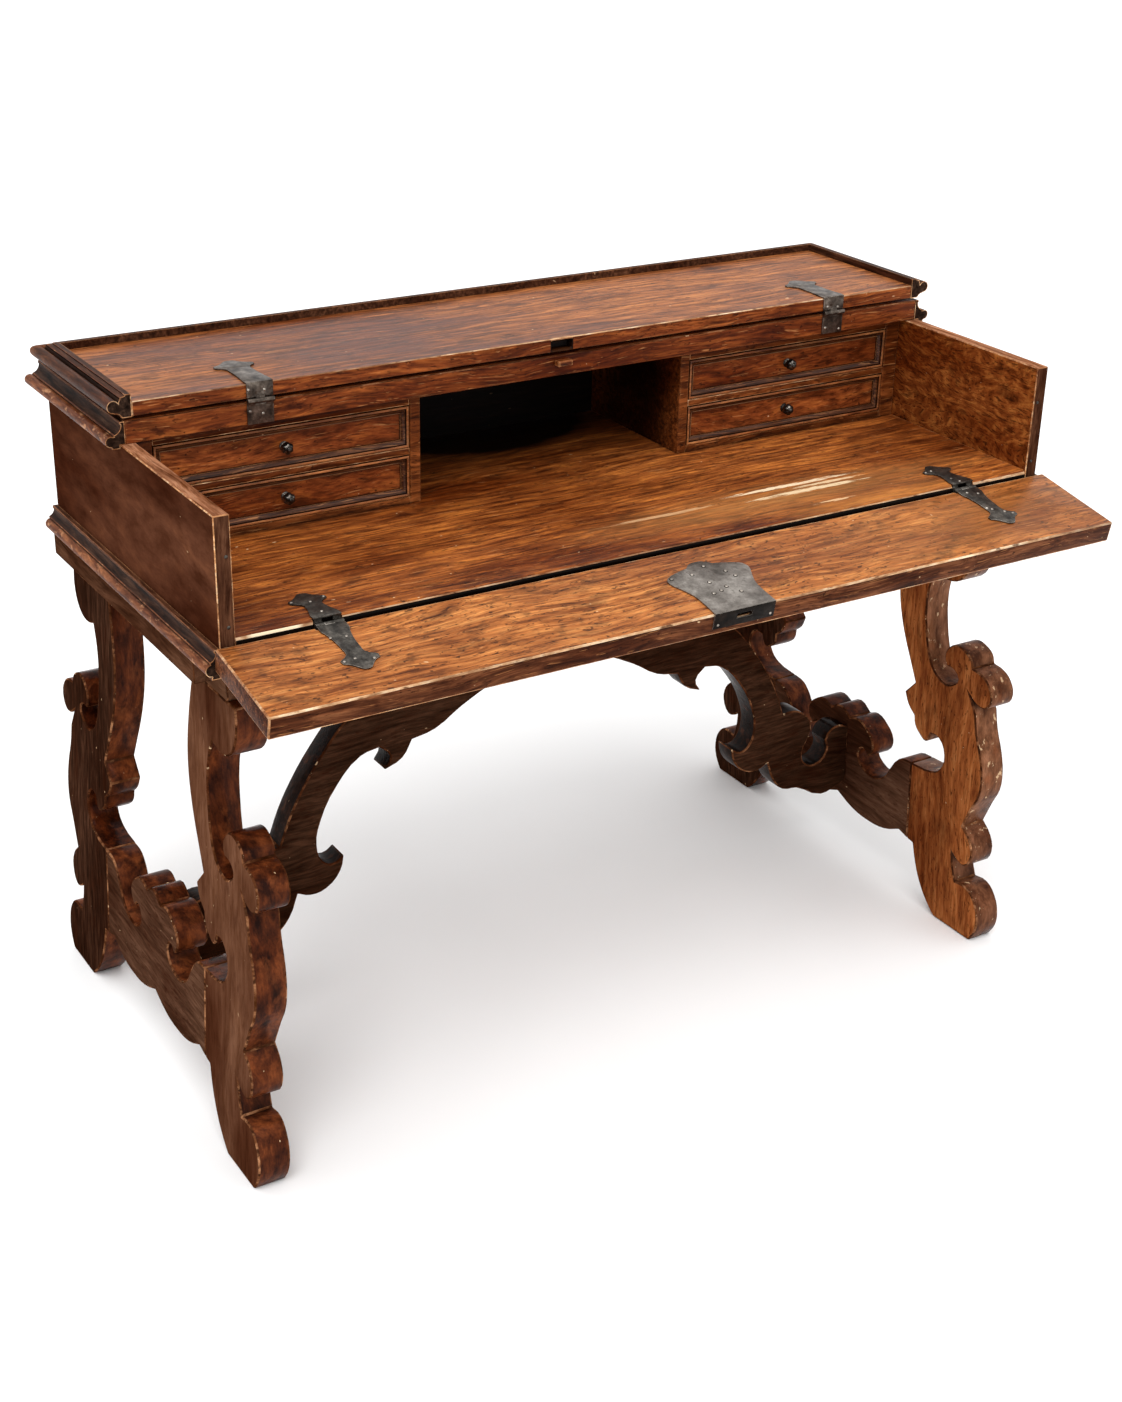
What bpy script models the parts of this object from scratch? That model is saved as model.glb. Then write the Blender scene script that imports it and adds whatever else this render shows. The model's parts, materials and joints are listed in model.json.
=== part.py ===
# Writing desk: a case with a fold-over top and a fall front on scroll-sawn trestles
import math

import bmesh
import bpy

# Case
CASE_WIDTH = 1.300
CASE_DEPTH = 0.566
WRITING_HEIGHT = 0.793
SIDE_HEIGHT = 0.155
SIDE_THICKNESS = 0.021
BASE_THICKNESS = 0.034
BACK_THICKNESS = 0.018
SEAT_GAP = 0.0003
ARRIS = 0.0012

# Fixed top and lid
TOP_INSET = 0.007
TOP_FRONT = 0.291
TOP_OVERHANG = 0.0335
LID_DEPTH = 0.258
LID_THICKNESS = 0.020
RIM_INSET = 0.003
FOLD_GAP = 0.0045
RIM_HEIGHT = 0.010
RIM_WIDTH = 0.013
LID_MOULDING_REACH = 0.033
TOP_MOULDING_REACH = 0.027
BASE_MOULDING_REACH = 0.0195
BEAD_RADIUS = 0.0085
BASE_MOULDING_HEIGHT = 0.038
BASE_MOULDING_DROP = 0.012

# Strap hinges of the lid
LID_HINGE_INSET = 0.181
LID_HINGE_SHIFT = 0.010
LID_HINGE_WIDTH = 0.037
LID_HINGE_SETBACK = 0.004
LID_KNUCKLE = 0.0038
LID_STRAP_LENGTH = 0.104
LEAF_THICKNESS = 0.002
PIN_RADIUS = 0.0014
PIN_CLEARANCE = 0.0003

# Peg and slot that line up the folded leaves
PEG_WIDTH = 0.024
PEG_HEIGHT = 0.008
PEG_REACH = 0.012
SLOT_SLACK_WIDE = 0.009
SLOT_SLACK_HIGH = 0.005
SLOT_DEPTH = 0.014

# Fall front
FALL_LAP = 0.008
FALL_DEPTH = 0.152
FALL_THICKNESS = 0.031
FALL_DROOP = math.radians(10.5)
FALL_STEP = 0.007
FALL_HINGE_GAP = 0.0025
FALL_HINGE_INSET = 0.142
FALL_HINGE_WIDTH = 0.038
FALL_KNUCKLE = 0.0035
BASE_STRAP_LENGTH = 0.083
FALL_STRAP_LENGTH = 0.106

# Lock
LOCK_SHIFT = 0.007
PLATE_THICKNESS = 0.0018
PLATE_HALF = 0.048
PLATE_FLARE = 0.063
PLATE_LENGTH = 0.1185
PLATE_DROP = 0.0215
KEYWAY_WIDTH = 0.024
KEYWAY_HEIGHT = 0.007
KEYWAY_DROP = 0.0085
BOLT_LENGTH = 0.040
BOLT_DEPTH = 0.012
BOLT_HEIGHT = 0.008
BOLT_TRAVEL = 0.012
BOLT_CLEARANCE = 0.0006
KEYHOLE_RADIUS = 0.0045

# Drawers
OPENING_HALF = 0.216
PARTITION_THICKNESS = 0.016
STILE_THICKNESS = 0.026
DRAWER_SETBACK = 0.016
SHELF_THICKNESS = 0.010
TOP_RAIL_THICKNESS = 0.020
DRAWER_SEAT = 0.010
DRAWER_HEIGHT = 0.0595
DRAWER_SLACK = 0.001
DRAWER_REAR_GAP = 0.005
DRAWER_FRONT = 0.020
DRAWER_WALL = 0.008
DRAWER_BOTTOM = 0.005
DRAWER_BOX_HEIGHT = 0.048
FRONT_LIP = 0.004
FRONT_BEVEL = 0.0075
FRONT_SINK = 0.008
KNOB_RADIUS = 0.0100
KNOB_REACH = 0.022
KNOB_LOBES = 6

# Trestles
TRESTLE_SETBACK = 0.043
TRESTLE_LEAN = 0.0488
BEARER_INSET = 0.031
LEG_THICKNESS = 0.046
PATTERN_HEIGHT = 0.6784
PATTERN_SEAM = 0.185
PATTERN_TOE = 0.178
SEAM_TOP = 0.254
SEAM_BOTTOM = 0.112
BEARER_HEIGHT = 0.080
BEARER_FRONT = 0.266
BEARER_REAR = 0.235
LIP_REACH = 0.011
LIP_HEIGHT = 0.030
BRACE_SETBACK = -0.002
BRACE_THICKNESS = 0.040
BRACE_FOOT = 0.148
BRACE_HEAD = 0.250
OUTLINE_STEPS = 3

# Sizes that follow
HALF_WIDTH = CASE_WIDTH / 2
INNER_HALF = HALF_WIDTH - SIDE_THICKNESS
BASE_UNDERSIDE = WRITING_HEIGHT - BASE_THICKNESS
SIDE_TOP = WRITING_HEIGHT + SIDE_HEIGHT
TOP_HALF = HALF_WIDTH - TOP_INSET
TOP_THICKNESS = LID_THICKNESS + RIM_HEIGHT
TOP_UNDERSIDE = SIDE_TOP + SEAT_GAP
TOP_FACE = TOP_UNDERSIDE + TOP_THICKNESS
TOP_BACK = CASE_DEPTH + TOP_OVERHANG
TOP_DEPTH = TOP_BACK - TOP_FRONT
LID_AXIS_Y = TOP_FRONT - LID_HINGE_SETBACK
LID_AXIS_Z = TOP_FACE + FOLD_GAP / 2
LID_HALF = INNER_HALF + RIM_INSET
LID_HINGE_SPREAD = HALF_WIDTH - LID_HINGE_INSET
LID_FRONT = LID_HINGE_SETBACK
LID_UNDER = FOLD_GAP / 2
FALL_HALF = HALF_WIDTH + FALL_LAP
FALL_HINGE_SPREAD = HALF_WIDTH - FALL_HINGE_INSET
FALL_AXIS_Z = WRITING_HEIGHT - FALL_STEP
FALL_REST = FALL_THICKNESS * math.sin(FALL_DROOP) - FALL_HINGE_GAP * math.cos(FALL_DROOP)
FALL_AXIS_Y = -SEAT_GAP - FALL_REST
FALL_EDGE = -FALL_HINGE_GAP - FALL_DEPTH
BEARER_TOP = BASE_UNDERSIDE - SEAT_GAP
BEARER_UNDERSIDE = BEARER_TOP - BEARER_HEIGHT
LEG_TOP = BEARER_UNDERSIDE - SEAT_GAP
TRESTLE_CENTRE = CASE_DEPTH / 2 + TRESTLE_SETBACK
TRESTLE_SCALE = LEG_TOP / PATTERN_HEIGHT
TRESTLE_RISE = LEG_TOP / 0.6784
LEG_SEAM = PATTERN_SEAM * TRESTLE_SCALE
TOE_REACH = PATTERN_TOE * TRESTLE_SCALE
LIP_FRONT = BEARER_FRONT - ARRIS
LIP_REAR = BEARER_REAR - ARRIS
BEARER_MIDDLE = HALF_WIDTH - BEARER_INSET - LEG_THICKNESS / 2
FOOT_MIDDLE = BEARER_MIDDLE + TRESTLE_LEAN * LEG_TOP
BRACE_PLANE = TRESTLE_CENTRE + BRACE_SETBACK
BASE_MOULDING_TOP = WRITING_HEIGHT - BASE_MOULDING_DROP
BASE_MOULDING_FOOT = BASE_MOULDING_TOP - BASE_MOULDING_HEIGHT
LIP_TOP = BASE_MOULDING_FOOT - SEAT_GAP
LIP_FOOT = LIP_TOP - LIP_HEIGHT
LIP_EDGE = HALF_WIDTH + LIP_REACH
DRAWER_PLANE = TOP_FRONT + DRAWER_SETBACK
COLUMN_INNER = OPENING_HALF + PARTITION_THICKNESS
STILE_INNER = INNER_HALF - SEAT_GAP - STILE_THICKNESS
COLUMN_WIDTH = STILE_INNER - COLUMN_INNER
COLUMN_MIDDLE = (STILE_INNER + COLUMN_INNER) / 2
DRAWER_BED = WRITING_HEIGHT + DRAWER_SEAT
SHELF_UNDERSIDE = DRAWER_BED + SEAT_GAP + DRAWER_HEIGHT + DRAWER_SLACK
SHELF_TOP = SHELF_UNDERSIDE + SHELF_THICKNESS
RAIL_UNDERSIDE = SHELF_TOP + SEAT_GAP + DRAWER_HEIGHT + DRAWER_SLACK
BACK_FACE = CASE_DEPTH - BACK_THICKNESS - SEAT_GAP
DRAWER_LENGTH = BACK_FACE - DRAWER_REAR_GAP - DRAWER_PLANE - DRAWER_FRONT - SEAT_GAP
PLATE_EDGE = SEAT_GAP + PLATE_THICKNESS
FALL_REACH = (FALL_EDGE - PLATE_EDGE) * math.cos(FALL_DROOP) - PLATE_EDGE * math.sin(FALL_DROOP)
FRONT_REACH = FALL_AXIS_Y + FALL_REACH
REAR_REACH = TRESTLE_CENTRE + LEG_SEAM + TOE_REACH
CENTRE_SHIFT = -(FRONT_REACH + REAR_REACH) / 2
QUARTER = math.pi / 2

# Finishes: colour, roughness, metallic
DARK_WALNUT = ((0.085, 0.033, 0.018, 1), 0.45, 0)
WARM_WALNUT = ((0.205, 0.084, 0.032, 1), 0.5, 0)
PALE_WOOD = ((0.32, 0.18, 0.085, 1), 0.65, 0)
IRON = ((0.075, 0.074, 0.066, 1), 0.5, 0.9)

for old in list(bpy.data.objects):
    bpy.data.objects.remove(old)

desk_folder = bpy.data.collections.new("writing_desk")
tool_folder = bpy.data.collections.new("cutters")
bpy.context.scene.collection.children.link(desk_folder)
bpy.context.scene.collection.children.link(tool_folder)


def new_material(name, finish):
    colour, roughness, metallic = finish
    material = bpy.data.materials.new(name)
    material.use_nodes = True
    shader = material.node_tree.nodes["Principled BSDF"]
    shader.inputs["Base Color"].default_value = colour
    shader.inputs["Roughness"].default_value = roughness
    shader.inputs["Metallic"].default_value = metallic
    return material


def pivot(name, place, parent=None, turn=(0, 0, 0)):
    empty = bpy.data.objects.new(name, None)
    desk_folder.objects.link(empty)
    empty.parent = parent
    empty.location = place
    empty.rotation_euler = turn
    return empty


def put(name, mesh, parent, place, turn=(0, 0, 0), finish=None):
    piece = bpy.data.objects.new(name, mesh)
    piece.parent = parent
    piece.location = place
    piece.rotation_euler = turn
    if finish:
        desk_folder.objects.link(piece)
        mesh.materials.append(new_material(name, finish))
    else:
        tool_folder.objects.link(piece)
        piece.hide_render = True
        piece.display_type = "WIRE"
    return piece


def block(name, low, high, parent, finish=None, arris=0):
    size = [top - bottom for bottom, top in zip(low, high)]
    middle = [(top + bottom) / 2 for bottom, top in zip(low, high)]
    mesh = bpy.data.meshes.new(name)
    shape = bmesh.new()
    bmesh.ops.create_cube(shape, size=1)
    bmesh.ops.scale(shape, vec=size, verts=shape.verts)
    shape.to_mesh(mesh)
    shape.free()
    piece = put(name, mesh, parent, middle, finish=finish)
    if arris:
        edge = piece.modifiers.new("arris", "BEVEL")
        edge.width = arris
        edge.segments = 1
    return piece


def rod(name, radius, length, parent, place, turn=(0, QUARTER, 0), sides=14):
    mesh = bpy.data.meshes.new(name)
    shape = bmesh.new()
    bmesh.ops.create_cone(
        shape, cap_ends=True, segments=sides, radius1=radius, radius2=radius, depth=length)
    shape.to_mesh(mesh)
    shape.free()
    return put(name, mesh, parent, place, turn)


def combine(piece, tool, way):
    step = piece.modifiers.new(tool.name, "BOOLEAN")
    step.operation = way
    step.solver = "EXACT"
    step.object = tool


def cut(piece, tool):
    combine(piece, tool, "DIFFERENCE")


def join(piece, tool):
    combine(piece, tool, "UNION")


def corner(across, up):
    return (across, up, "VECTOR")


def smooth(across, up):
    return (across, up, "AUTO")


def flip(points):
    return [(-across, up, kind) for across, up, kind in reversed(points)]


def outline_mesh(name, points, thickness, steps=OUTLINE_STEPS):
    curve = bpy.data.curves.new(name, "CURVE")
    curve.dimensions = "2D"
    curve.fill_mode = "BOTH"
    curve.extrude = thickness / 2
    curve.resolution_u = steps
    spline = curve.splines.new("BEZIER")
    spline.bezier_points.add(len(points) - 1)
    spline.use_cyclic_u = True
    for knot, (across, up, kind) in zip(spline.bezier_points, points):
        knot.co = (across, up, 0)
        knot.handle_left_type = kind
        knot.handle_right_type = kind
    pattern = bpy.data.objects.new(name, curve)
    tool_folder.objects.link(pattern)
    layers = bpy.context.evaluated_depsgraph_get()
    mesh = bpy.data.meshes.new_from_object(pattern.evaluated_get(layers))
    bpy.data.objects.remove(pattern)
    shape = bmesh.new()
    shape.from_mesh(mesh)
    bmesh.ops.remove_doubles(shape, verts=shape.verts, dist=0.00001)
    bmesh.ops.recalc_face_normals(shape, faces=shape.faces)
    shape.to_mesh(mesh)
    shape.free()
    mesh.materials.clear()
    return mesh


def arc(across, up, radius, start, end, steps):
    points = []
    for step in range(steps + 1):
        angle = math.radians(start + (end - start) * step / steps)
        points.append(corner(across + radius * math.cos(angle), up + radius * math.sin(angle)))
    return points


def cove(start, end, steps=5):
    points = []
    for step in range(steps + 1):
        angle = QUARTER * step / steps
        across = start[0] + (end[0] - start[0]) * math.sin(angle)
        up = start[1] + (end[1] - start[1]) * (1 - math.cos(angle))
        points.append(corner(across, up))
    return points


# The whole desk stands on its own centre
desk = pivot("desk", (0, CENTRE_SHIFT, 0))
lid = pivot("lid_axis", (0, LID_AXIS_Y, LID_AXIS_Z), desk)
fall = pivot("fall_axis", (0, FALL_AXIS_Y, FALL_AXIS_Z), desk, (FALL_DROOP, 0, 0))


# Trestles lean inward as they rise: their ends stay level
def lean(mesh, slope):
    for point in mesh.vertices:
        point.co.z -= slope * point.co.y


# Patterns are drawn 0.6784 tall and brought to the height under the case
def to_size(points):
    return [(across * TRESTLE_SCALE, up * TRESTLE_RISE, kind) for across, up, kind in points]


# Trestle legs: distance out from the seam, then height
def leg_outline():
    top = LEG_TOP / TRESTLE_RISE
    toe = PATTERN_TOE
    neck_inside = [
        corner(-0.032, top),
        smooth(-0.042, top - 0.036),
        smooth(-0.049, top - 0.073),
        smooth(-0.053, top - 0.108),
        smooth(-0.052, top - 0.143),
        smooth(-0.045, top - 0.178),
        smooth(-0.033, top - 0.213),
        smooth(-0.018, top - 0.246)]
    inner_hook = [
        corner(-0.003, 0.399),
        smooth(-0.013, 0.388),
        corner(-0.026, 0.374),
        smooth(-0.016, 0.354),
        corner(-0.001, 0.341),
        smooth(0.002, 0.326),
        smooth(0.015, 0.313)]
    eye = [
        smooth(0.030, 0.307),
        corner(0.041, 0.326),
        smooth(0.060, 0.326),
        smooth(0.075, 0.302),
        smooth(0.067, 0.273),
        smooth(0.048, SEAM_TOP + 0.006)]
    seam_face = [
        corner(0, SEAM_TOP),
        corner(0, SEAM_BOTTOM)]
    foot = [
        corner(0.014, SEAM_BOTTOM - 0.002),
        smooth(0.023, 0.076),
        smooth(0.036, 0.046),
        smooth(0.055, 0.019),
        corner(0.075, 0),
        corner(toe - 0.016, 0),
        smooth(toe - 0.003, 0.022),
        smooth(toe, 0.048),
        smooth(toe - 0.010, 0.076),
        smooth(toe - 0.030, 0.092)]
    lower_lobe = [
        corner(0.121, 0.090),
        smooth(0.113, 0.113),
        corner(0.109, 0.140),
        smooth(0.122, 0.131),
        smooth(0.138, 0.128),
        smooth(0.154, 0.151),
        smooth(0.148, 0.178)]
    knee = [
        corner(0.129, 0.197),
        smooth(0.147, 0.238),
        smooth(0.161, 0.267),
        smooth(0.164, 0.299),
        smooth(0.158, 0.332),
        smooth(0.145, 0.369),
        corner(0.139, 0.401)]
    shoulder = [
        corner(0.123, 0.430),
        smooth(0.141, 0.419),
        smooth(0.160, 0.420),
        smooth(0.172, 0.439),
        smooth(0.164, 0.461),
        smooth(0.148, 0.472)]
    scroll = [
        corner(0.126, 0.475),
        smooth(0.121, 0.489),
        smooth(0.105, 0.498),
        smooth(0.087, 0.500),
        smooth(0.070, 0.490),
        smooth(0.062, 0.472),
        corner(0.067, 0.457),
        smooth(0.082, 0.457),
        smooth(0.095, 0.445),
        smooth(0.084, 0.431),
        smooth(0.066, 0.425),
        smooth(0.048, 0.431),
        smooth(0.032, 0.446)]
    neck_outside = [
        smooth(0.022, top - 0.208),
        smooth(0.016, top - 0.176),
        smooth(0.013, top - 0.142),
        smooth(0.017, top - 0.105)]
    bracket = [
        corner(0.028, top - 0.074),
        smooth(0.056, top - 0.080),
        smooth(0.084, top - 0.071),
        smooth(0.101, top - 0.048),
        smooth(0.105, top - 0.022),
        corner(0.101, top)]
    runs = [
        neck_inside, inner_hook, eye, seam_face, foot, lower_lobe,
        knee, shoulder, scroll, neck_outside, bracket]
    points = [(PATTERN_SEAM + across, up, kind) for run in runs for across, up, kind in run]
    return to_size(points)


# Low cross piece of a trestle
def stretcher_outline():
    end = PATTERN_SEAM - SEAT_GAP / TRESTLE_SCALE
    half = [
        corner(0.025, 0.268),
        smooth(0.046, 0.275),
        smooth(0.071, 0.264),
        smooth(0.086, 0.247),
        smooth(0.086, 0.230),
        corner(0.075, 0.216),
        smooth(0.063, 0.226),
        smooth(0.051, 0.217),
        smooth(0.052, 0.201),
        smooth(0.065, 0.189),
        smooth(0.084, 0.184),
        smooth(0.104, 0.188),
        smooth(0.121, 0.201),
        smooth(0.132, 0.219),
        corner(end - 0.042, SEAM_TOP - 0.018),
        smooth(end - 0.026, SEAM_TOP - 0.004),
        corner(end, SEAM_TOP),
        corner(end, SEAM_BOTTOM),
        corner(end - 0.022, SEAM_BOTTOM + 0.006),
        smooth(0.125, 0.101),
        smooth(0.085, 0.096),
        smooth(0.042, 0.100)]
    return to_size([smooth(0, 0.281)] + half + [corner(0, 0.116)] + flip(half))


# Half of the arched long stretcher, out to the leaning inner face of a trestle
def brace_outline():
    floor_end = (FOOT_MIDDLE - LEG_THICKNESS / 2 - SEAT_GAP) / TRESTLE_SCALE
    slope = TRESTLE_LEAN * TRESTLE_RISE / TRESTLE_SCALE
    end = floor_end - slope * BRACE_FOOT
    middle = SEAT_GAP / 2 / TRESTLE_SCALE
    lower = [
        corner(middle, 0.511),
        smooth(0.075, 0.497),
        smooth(0.152, 0.463),
        smooth(0.197, 0.436)]
    drop = [
        corner(end - 0.363, 0.428),
        smooth(end - 0.347, 0.402),
        corner(end - 0.317, 0.389),
        smooth(end - 0.327, 0.409),
        corner(end - 0.310, 0.428)]
    arch = [
        smooth(end - 0.279, 0.421),
        smooth(end - 0.240, 0.383),
        smooth(end - 0.212, 0.331),
        smooth(end - 0.205, 0.295)]
    hook = [
        smooth(end - 0.214, 0.265),
        smooth(end - 0.230, 0.257),
        corner(end - 0.248, 0.267),
        smooth(end - 0.242, 0.242),
        smooth(end - 0.218, 0.218),
        smooth(end - 0.192, 0.214)]
    tail = [
        corner(end - 0.172, 0.222),
        smooth(end - 0.157, 0.185),
        smooth(end - 0.135, 0.164),
        smooth(end - 0.106, 0.159),
        smooth(end - 0.052, 0.133),
        smooth(end - 0.020, 0.140),
        corner(end, BRACE_FOOT),
        corner(floor_end - slope * BRACE_HEAD, BRACE_HEAD)]
    curl = [
        smooth(end - 0.024, 0.257),
        smooth(end - 0.044, 0.251),
        corner(end - 0.052, 0.236),
        smooth(end - 0.048, 0.214),
        smooth(end - 0.070, 0.195),
        smooth(end - 0.094, 0.204),
        smooth(end - 0.100, 0.226),
        smooth(end - 0.091, 0.246)]
    lobe = [
        corner(end - 0.084, 0.264),
        smooth(end - 0.090, 0.284),
        smooth(end - 0.105, 0.299),
        smooth(end - 0.123, 0.307)]
    crown = [
        corner(end - 0.146, 0.306),
        smooth(end - 0.162, 0.348),
        smooth(end - 0.184, 0.390),
        smooth(end - 0.215, 0.436),
        smooth(end - 0.259, 0.487),
        smooth(0.275, 0.534),
        smooth(0.190, 0.575),
        smooth(0.095, 0.599),
        corner(middle, 0.606)]
    return to_size(lower + drop + arch + hook + tail + curl + lobe + crown)


def bearer_outline():
    low = BEARER_UNDERSIDE
    return [
        corner(BEARER_REAR - 0.004, low),
        corner(BEARER_REAR, low + 0.004),
        corner(BEARER_REAR, BEARER_TOP),
        corner(-BEARER_FRONT, BEARER_TOP),
        corner(-BEARER_FRONT, low + 0.004),
        corner(0.004 - BEARER_FRONT, low)]


for side, way in (("left", -1), ("right", 1)):
    middle = way * FOOT_MIDDLE
    for end, turn, facing in (("front", -QUARTER, -1), ("rear", QUARTER, 1)):
        name = side + "_" + end + "_leg"
        mesh = outline_mesh(name, leg_outline(), LEG_THICKNESS)
        lean(mesh, way * facing * TRESTLE_LEAN)
        put(name, mesh, desk, (middle, TRESTLE_CENTRE, 0), (QUARTER, 0, turn), DARK_WALNUT)
    name = side + "_stretcher"
    mesh = outline_mesh(name, stretcher_outline(), LEG_THICKNESS)
    lean(mesh, way * TRESTLE_LEAN)
    put(name, mesh, desk, (middle, TRESTLE_CENTRE, 0), (QUARTER, 0, QUARTER), DARK_WALNUT)
    name = side + "_bearer"
    bearer = put(name, outline_mesh(name, bearer_outline(), LEG_THICKNESS, 1), desk,
                 (way * BEARER_MIDDLE, TRESTLE_CENTRE, 0), (QUARTER, 0, QUARTER), DARK_WALNUT)
    reach = sorted((way * BEARER_MIDDLE, way * LIP_EDGE))
    join(bearer, block(
        name + "_lip", (reach[0], TRESTLE_CENTRE - LIP_FRONT, LIP_FOOT),
        (reach[1], TRESTLE_CENTRE + LIP_REAR, LIP_TOP), desk))
    facing = 0 if way > 0 else math.pi
    name = side + "_brace"
    put(name, outline_mesh(name, brace_outline(), BRACE_THICKNESS), desk,
        (0, BRACE_PLANE, 0), (QUARTER, 0, facing), DARK_WALNUT)

# Case boards
base_edge = INNER_HALF - SEAT_GAP
base_board = block(
    "base_board", (-base_edge, 0, BASE_UNDERSIDE), (base_edge, CASE_DEPTH, WRITING_HEIGHT),
    desk, WARM_WALNUT)
block("left_side", (-HALF_WIDTH, 0, BASE_UNDERSIDE), (-INNER_HALF, CASE_DEPTH, SIDE_TOP),
      desk, DARK_WALNUT, ARRIS)
block("right_side", (INNER_HALF, 0, BASE_UNDERSIDE), (HALF_WIDTH, CASE_DEPTH, SIDE_TOP),
      desk, DARK_WALNUT, ARRIS)
block("back_panel", (-base_edge, CASE_DEPTH - BACK_THICKNESS, WRITING_HEIGHT + SEAT_GAP),
      (base_edge, CASE_DEPTH, SIDE_TOP), desk, DARK_WALNUT)
fixed_top = block(
    "fixed_top", (-TOP_HALF, TOP_FRONT, TOP_UNDERSIDE), (TOP_HALF, TOP_BACK, TOP_FACE),
    desk, WARM_WALNUT, ARRIS)
peg_middle = LID_AXIS_Z - LID_UNDER - LID_THICKNESS / 2
block("alignment_peg", (-PEG_WIDTH / 2, TOP_FRONT - PEG_REACH, peg_middle - PEG_HEIGHT / 2),
      (PEG_WIDTH / 2, TOP_FRONT - SEAT_GAP, peg_middle + PEG_HEIGHT / 2), desk, PALE_WOOD, ARRIS)


# Mouldings: outward from the board's edge, and up from its lower face
def lid_profile():
    bead = LID_MOULDING_REACH - BEAD_RADIUS
    top = LID_THICKNESS + RIM_HEIGHT
    under = cove((bead - 0.004, top - 0.0225), (RIM_WIDTH - 0.0005, 0.0015))
    return (
        [corner(SEAT_GAP, 0), corner(RIM_WIDTH - 0.0005, 0)]
        + under[::-1]
        + arc(bead, top - 0.0145, BEAD_RADIUS, -115, 110, 9)
        + cove((bead - 0.004, top - 0.0058), (RIM_WIDTH + 0.0015, top - 0.002))
        + [corner(RIM_WIDTH, top - 0.0015), corner(RIM_WIDTH, top), corner(SEAT_GAP, top)])


def top_profile():
    bead = TOP_MOULDING_REACH - BEAD_RADIUS
    hang = HALF_WIDTH + 2 * SEAT_GAP - TOP_HALF
    return (
        [corner(SEAT_GAP, 0), corner(hang, 0), corner(hang, -0.0045), corner(bead - 0.004, -0.0045)]
        + arc(bead, 0.007, BEAD_RADIUS, -110, 95, 9)
        + cove((bead - 0.002, 0.0165), (0.0045, TOP_THICKNESS - 0.003))
        + [corner(0.006, TOP_THICKNESS - 0.003), corner(0.006, TOP_THICKNESS)]
        + [corner(SEAT_GAP, TOP_THICKNESS)])


def base_profile():
    bead = BASE_MOULDING_REACH - BEAD_RADIUS
    top = BASE_MOULDING_HEIGHT
    return (
        [corner(SEAT_GAP, 0), corner(bead - 0.003, 0), corner(bead - 0.003, 0.0035)]
        + arc(bead, 0.0125, BEAD_RADIUS, -105, 95, 9)
        + cove((bead - 0.001, 0.0222), (0.0055, top - 0.004))
        + [corner(0.007, top - 0.004), corner(0.007, top), corner(SEAT_GAP, top)])


def mitre(mesh, near, far):
    for point in mesh.vertices:
        if point.co.z > 0 and far:
            point.co.z += point.co.x - SEAT_GAP
        if point.co.z < 0 and near:
            point.co.z -= point.co.x - SEAT_GAP


for side, way, facing in (("left", -1, math.pi), ("right", 1, 0)):
    name = side + "_base_moulding"
    put(name, outline_mesh(name, base_profile(), CASE_DEPTH, 1), desk,
        (way * HALF_WIDTH, CASE_DEPTH / 2, BASE_MOULDING_FOOT), (QUARTER, 0, facing), DARK_WALNUT)
    name = side + "_top_moulding"
    put(name, outline_mesh(name, top_profile(), TOP_DEPTH, 1), desk,
        (way * TOP_HALF, TOP_FRONT + TOP_DEPTH / 2, TOP_UNDERSIDE), (QUARTER, 0, facing), DARK_WALNUT)
    name = "lid_" + side + "_moulding"
    mesh = outline_mesh(name, lid_profile(), LID_DEPTH, 1)
    mitre(mesh, way > 0, way < 0)
    put(name, mesh, lid, (way * LID_HALF, LID_FRONT + LID_DEPTH / 2, LID_UNDER),
        (QUARTER, 0, facing), DARK_WALNUT)

# Lid
lid_back = LID_FRONT + LID_DEPTH
lid_top = LID_UNDER + LID_THICKNESS
lid_board = block(
    "lid_board", (-LID_HALF, LID_FRONT, LID_UNDER), (LID_HALF, lid_back, lid_top),
    lid, WARM_WALNUT, ARRIS)
mesh = outline_mesh("lid_back_moulding", lid_profile(), 2 * LID_HALF, 1)
mitre(mesh, True, True)
put("lid_back_moulding", mesh, lid, (0, lid_back, LID_UNDER), (QUARTER, 0, QUARTER), DARK_WALNUT)
slot_half = (PEG_WIDTH + SLOT_SLACK_WIDE) / 2
slot_high = (PEG_HEIGHT + SLOT_SLACK_HIGH) / 2
slot_level = LID_UNDER + LID_THICKNESS / 2
cut(lid_board, block(
    "peg_slot", (-slot_half, LID_FRONT - 0.01, slot_level - slot_high),
    (slot_half, LID_FRONT + SLOT_DEPTH, slot_level + slot_high), lid))


# Strap with a horned end, from its root at zero to its tip
def strap_outline(root_half, neck_half, length, horn_half, root):
    half = [
        corner(root_half, 0),
        corner(root_half, root),
        smooth(root_half * 0.5 + neck_half * 0.5, root + 0.010),
        smooth(neck_half, length - 0.044),
        smooth(neck_half + 0.001, length - 0.034),
        corner(horn_half, length - 0.0245),
        corner(horn_half - 0.0005, length - 0.018),
        smooth(horn_half * 0.66, length - 0.0135),
        smooth(horn_half * 0.40, length - 0.0065),
        smooth(horn_half * 0.20, length - 0.0010)]
    return half + [smooth(0, length)] + flip(half)


# Knuckles on a hinge axis: the outer pair carry the pin, the middle one turns on it
def outer_knuckles(leaf, name, parent, place, radius, width):
    across, along, up = place
    each = width * 0.31
    for tag, way in (("_a", -1), ("_b", 1)):
        middle = across + way * (width - each) / 2
        join(leaf, rod(name + tag, radius, each, parent, (middle, along, up)))
    join(leaf, rod(name + "_pin", PIN_RADIUS, width * 0.9, parent, place, sides=10))


def middle_knuckle(leaf, name, parent, place, radius, width):
    length = width * 0.38 - 2 * SEAT_GAP
    join(leaf, rod(name, radius, length, parent, place))
    cut(leaf, rod(name + "_bore", PIN_RADIUS + PIN_CLEARANCE, width, parent, place, sides=10))


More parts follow.
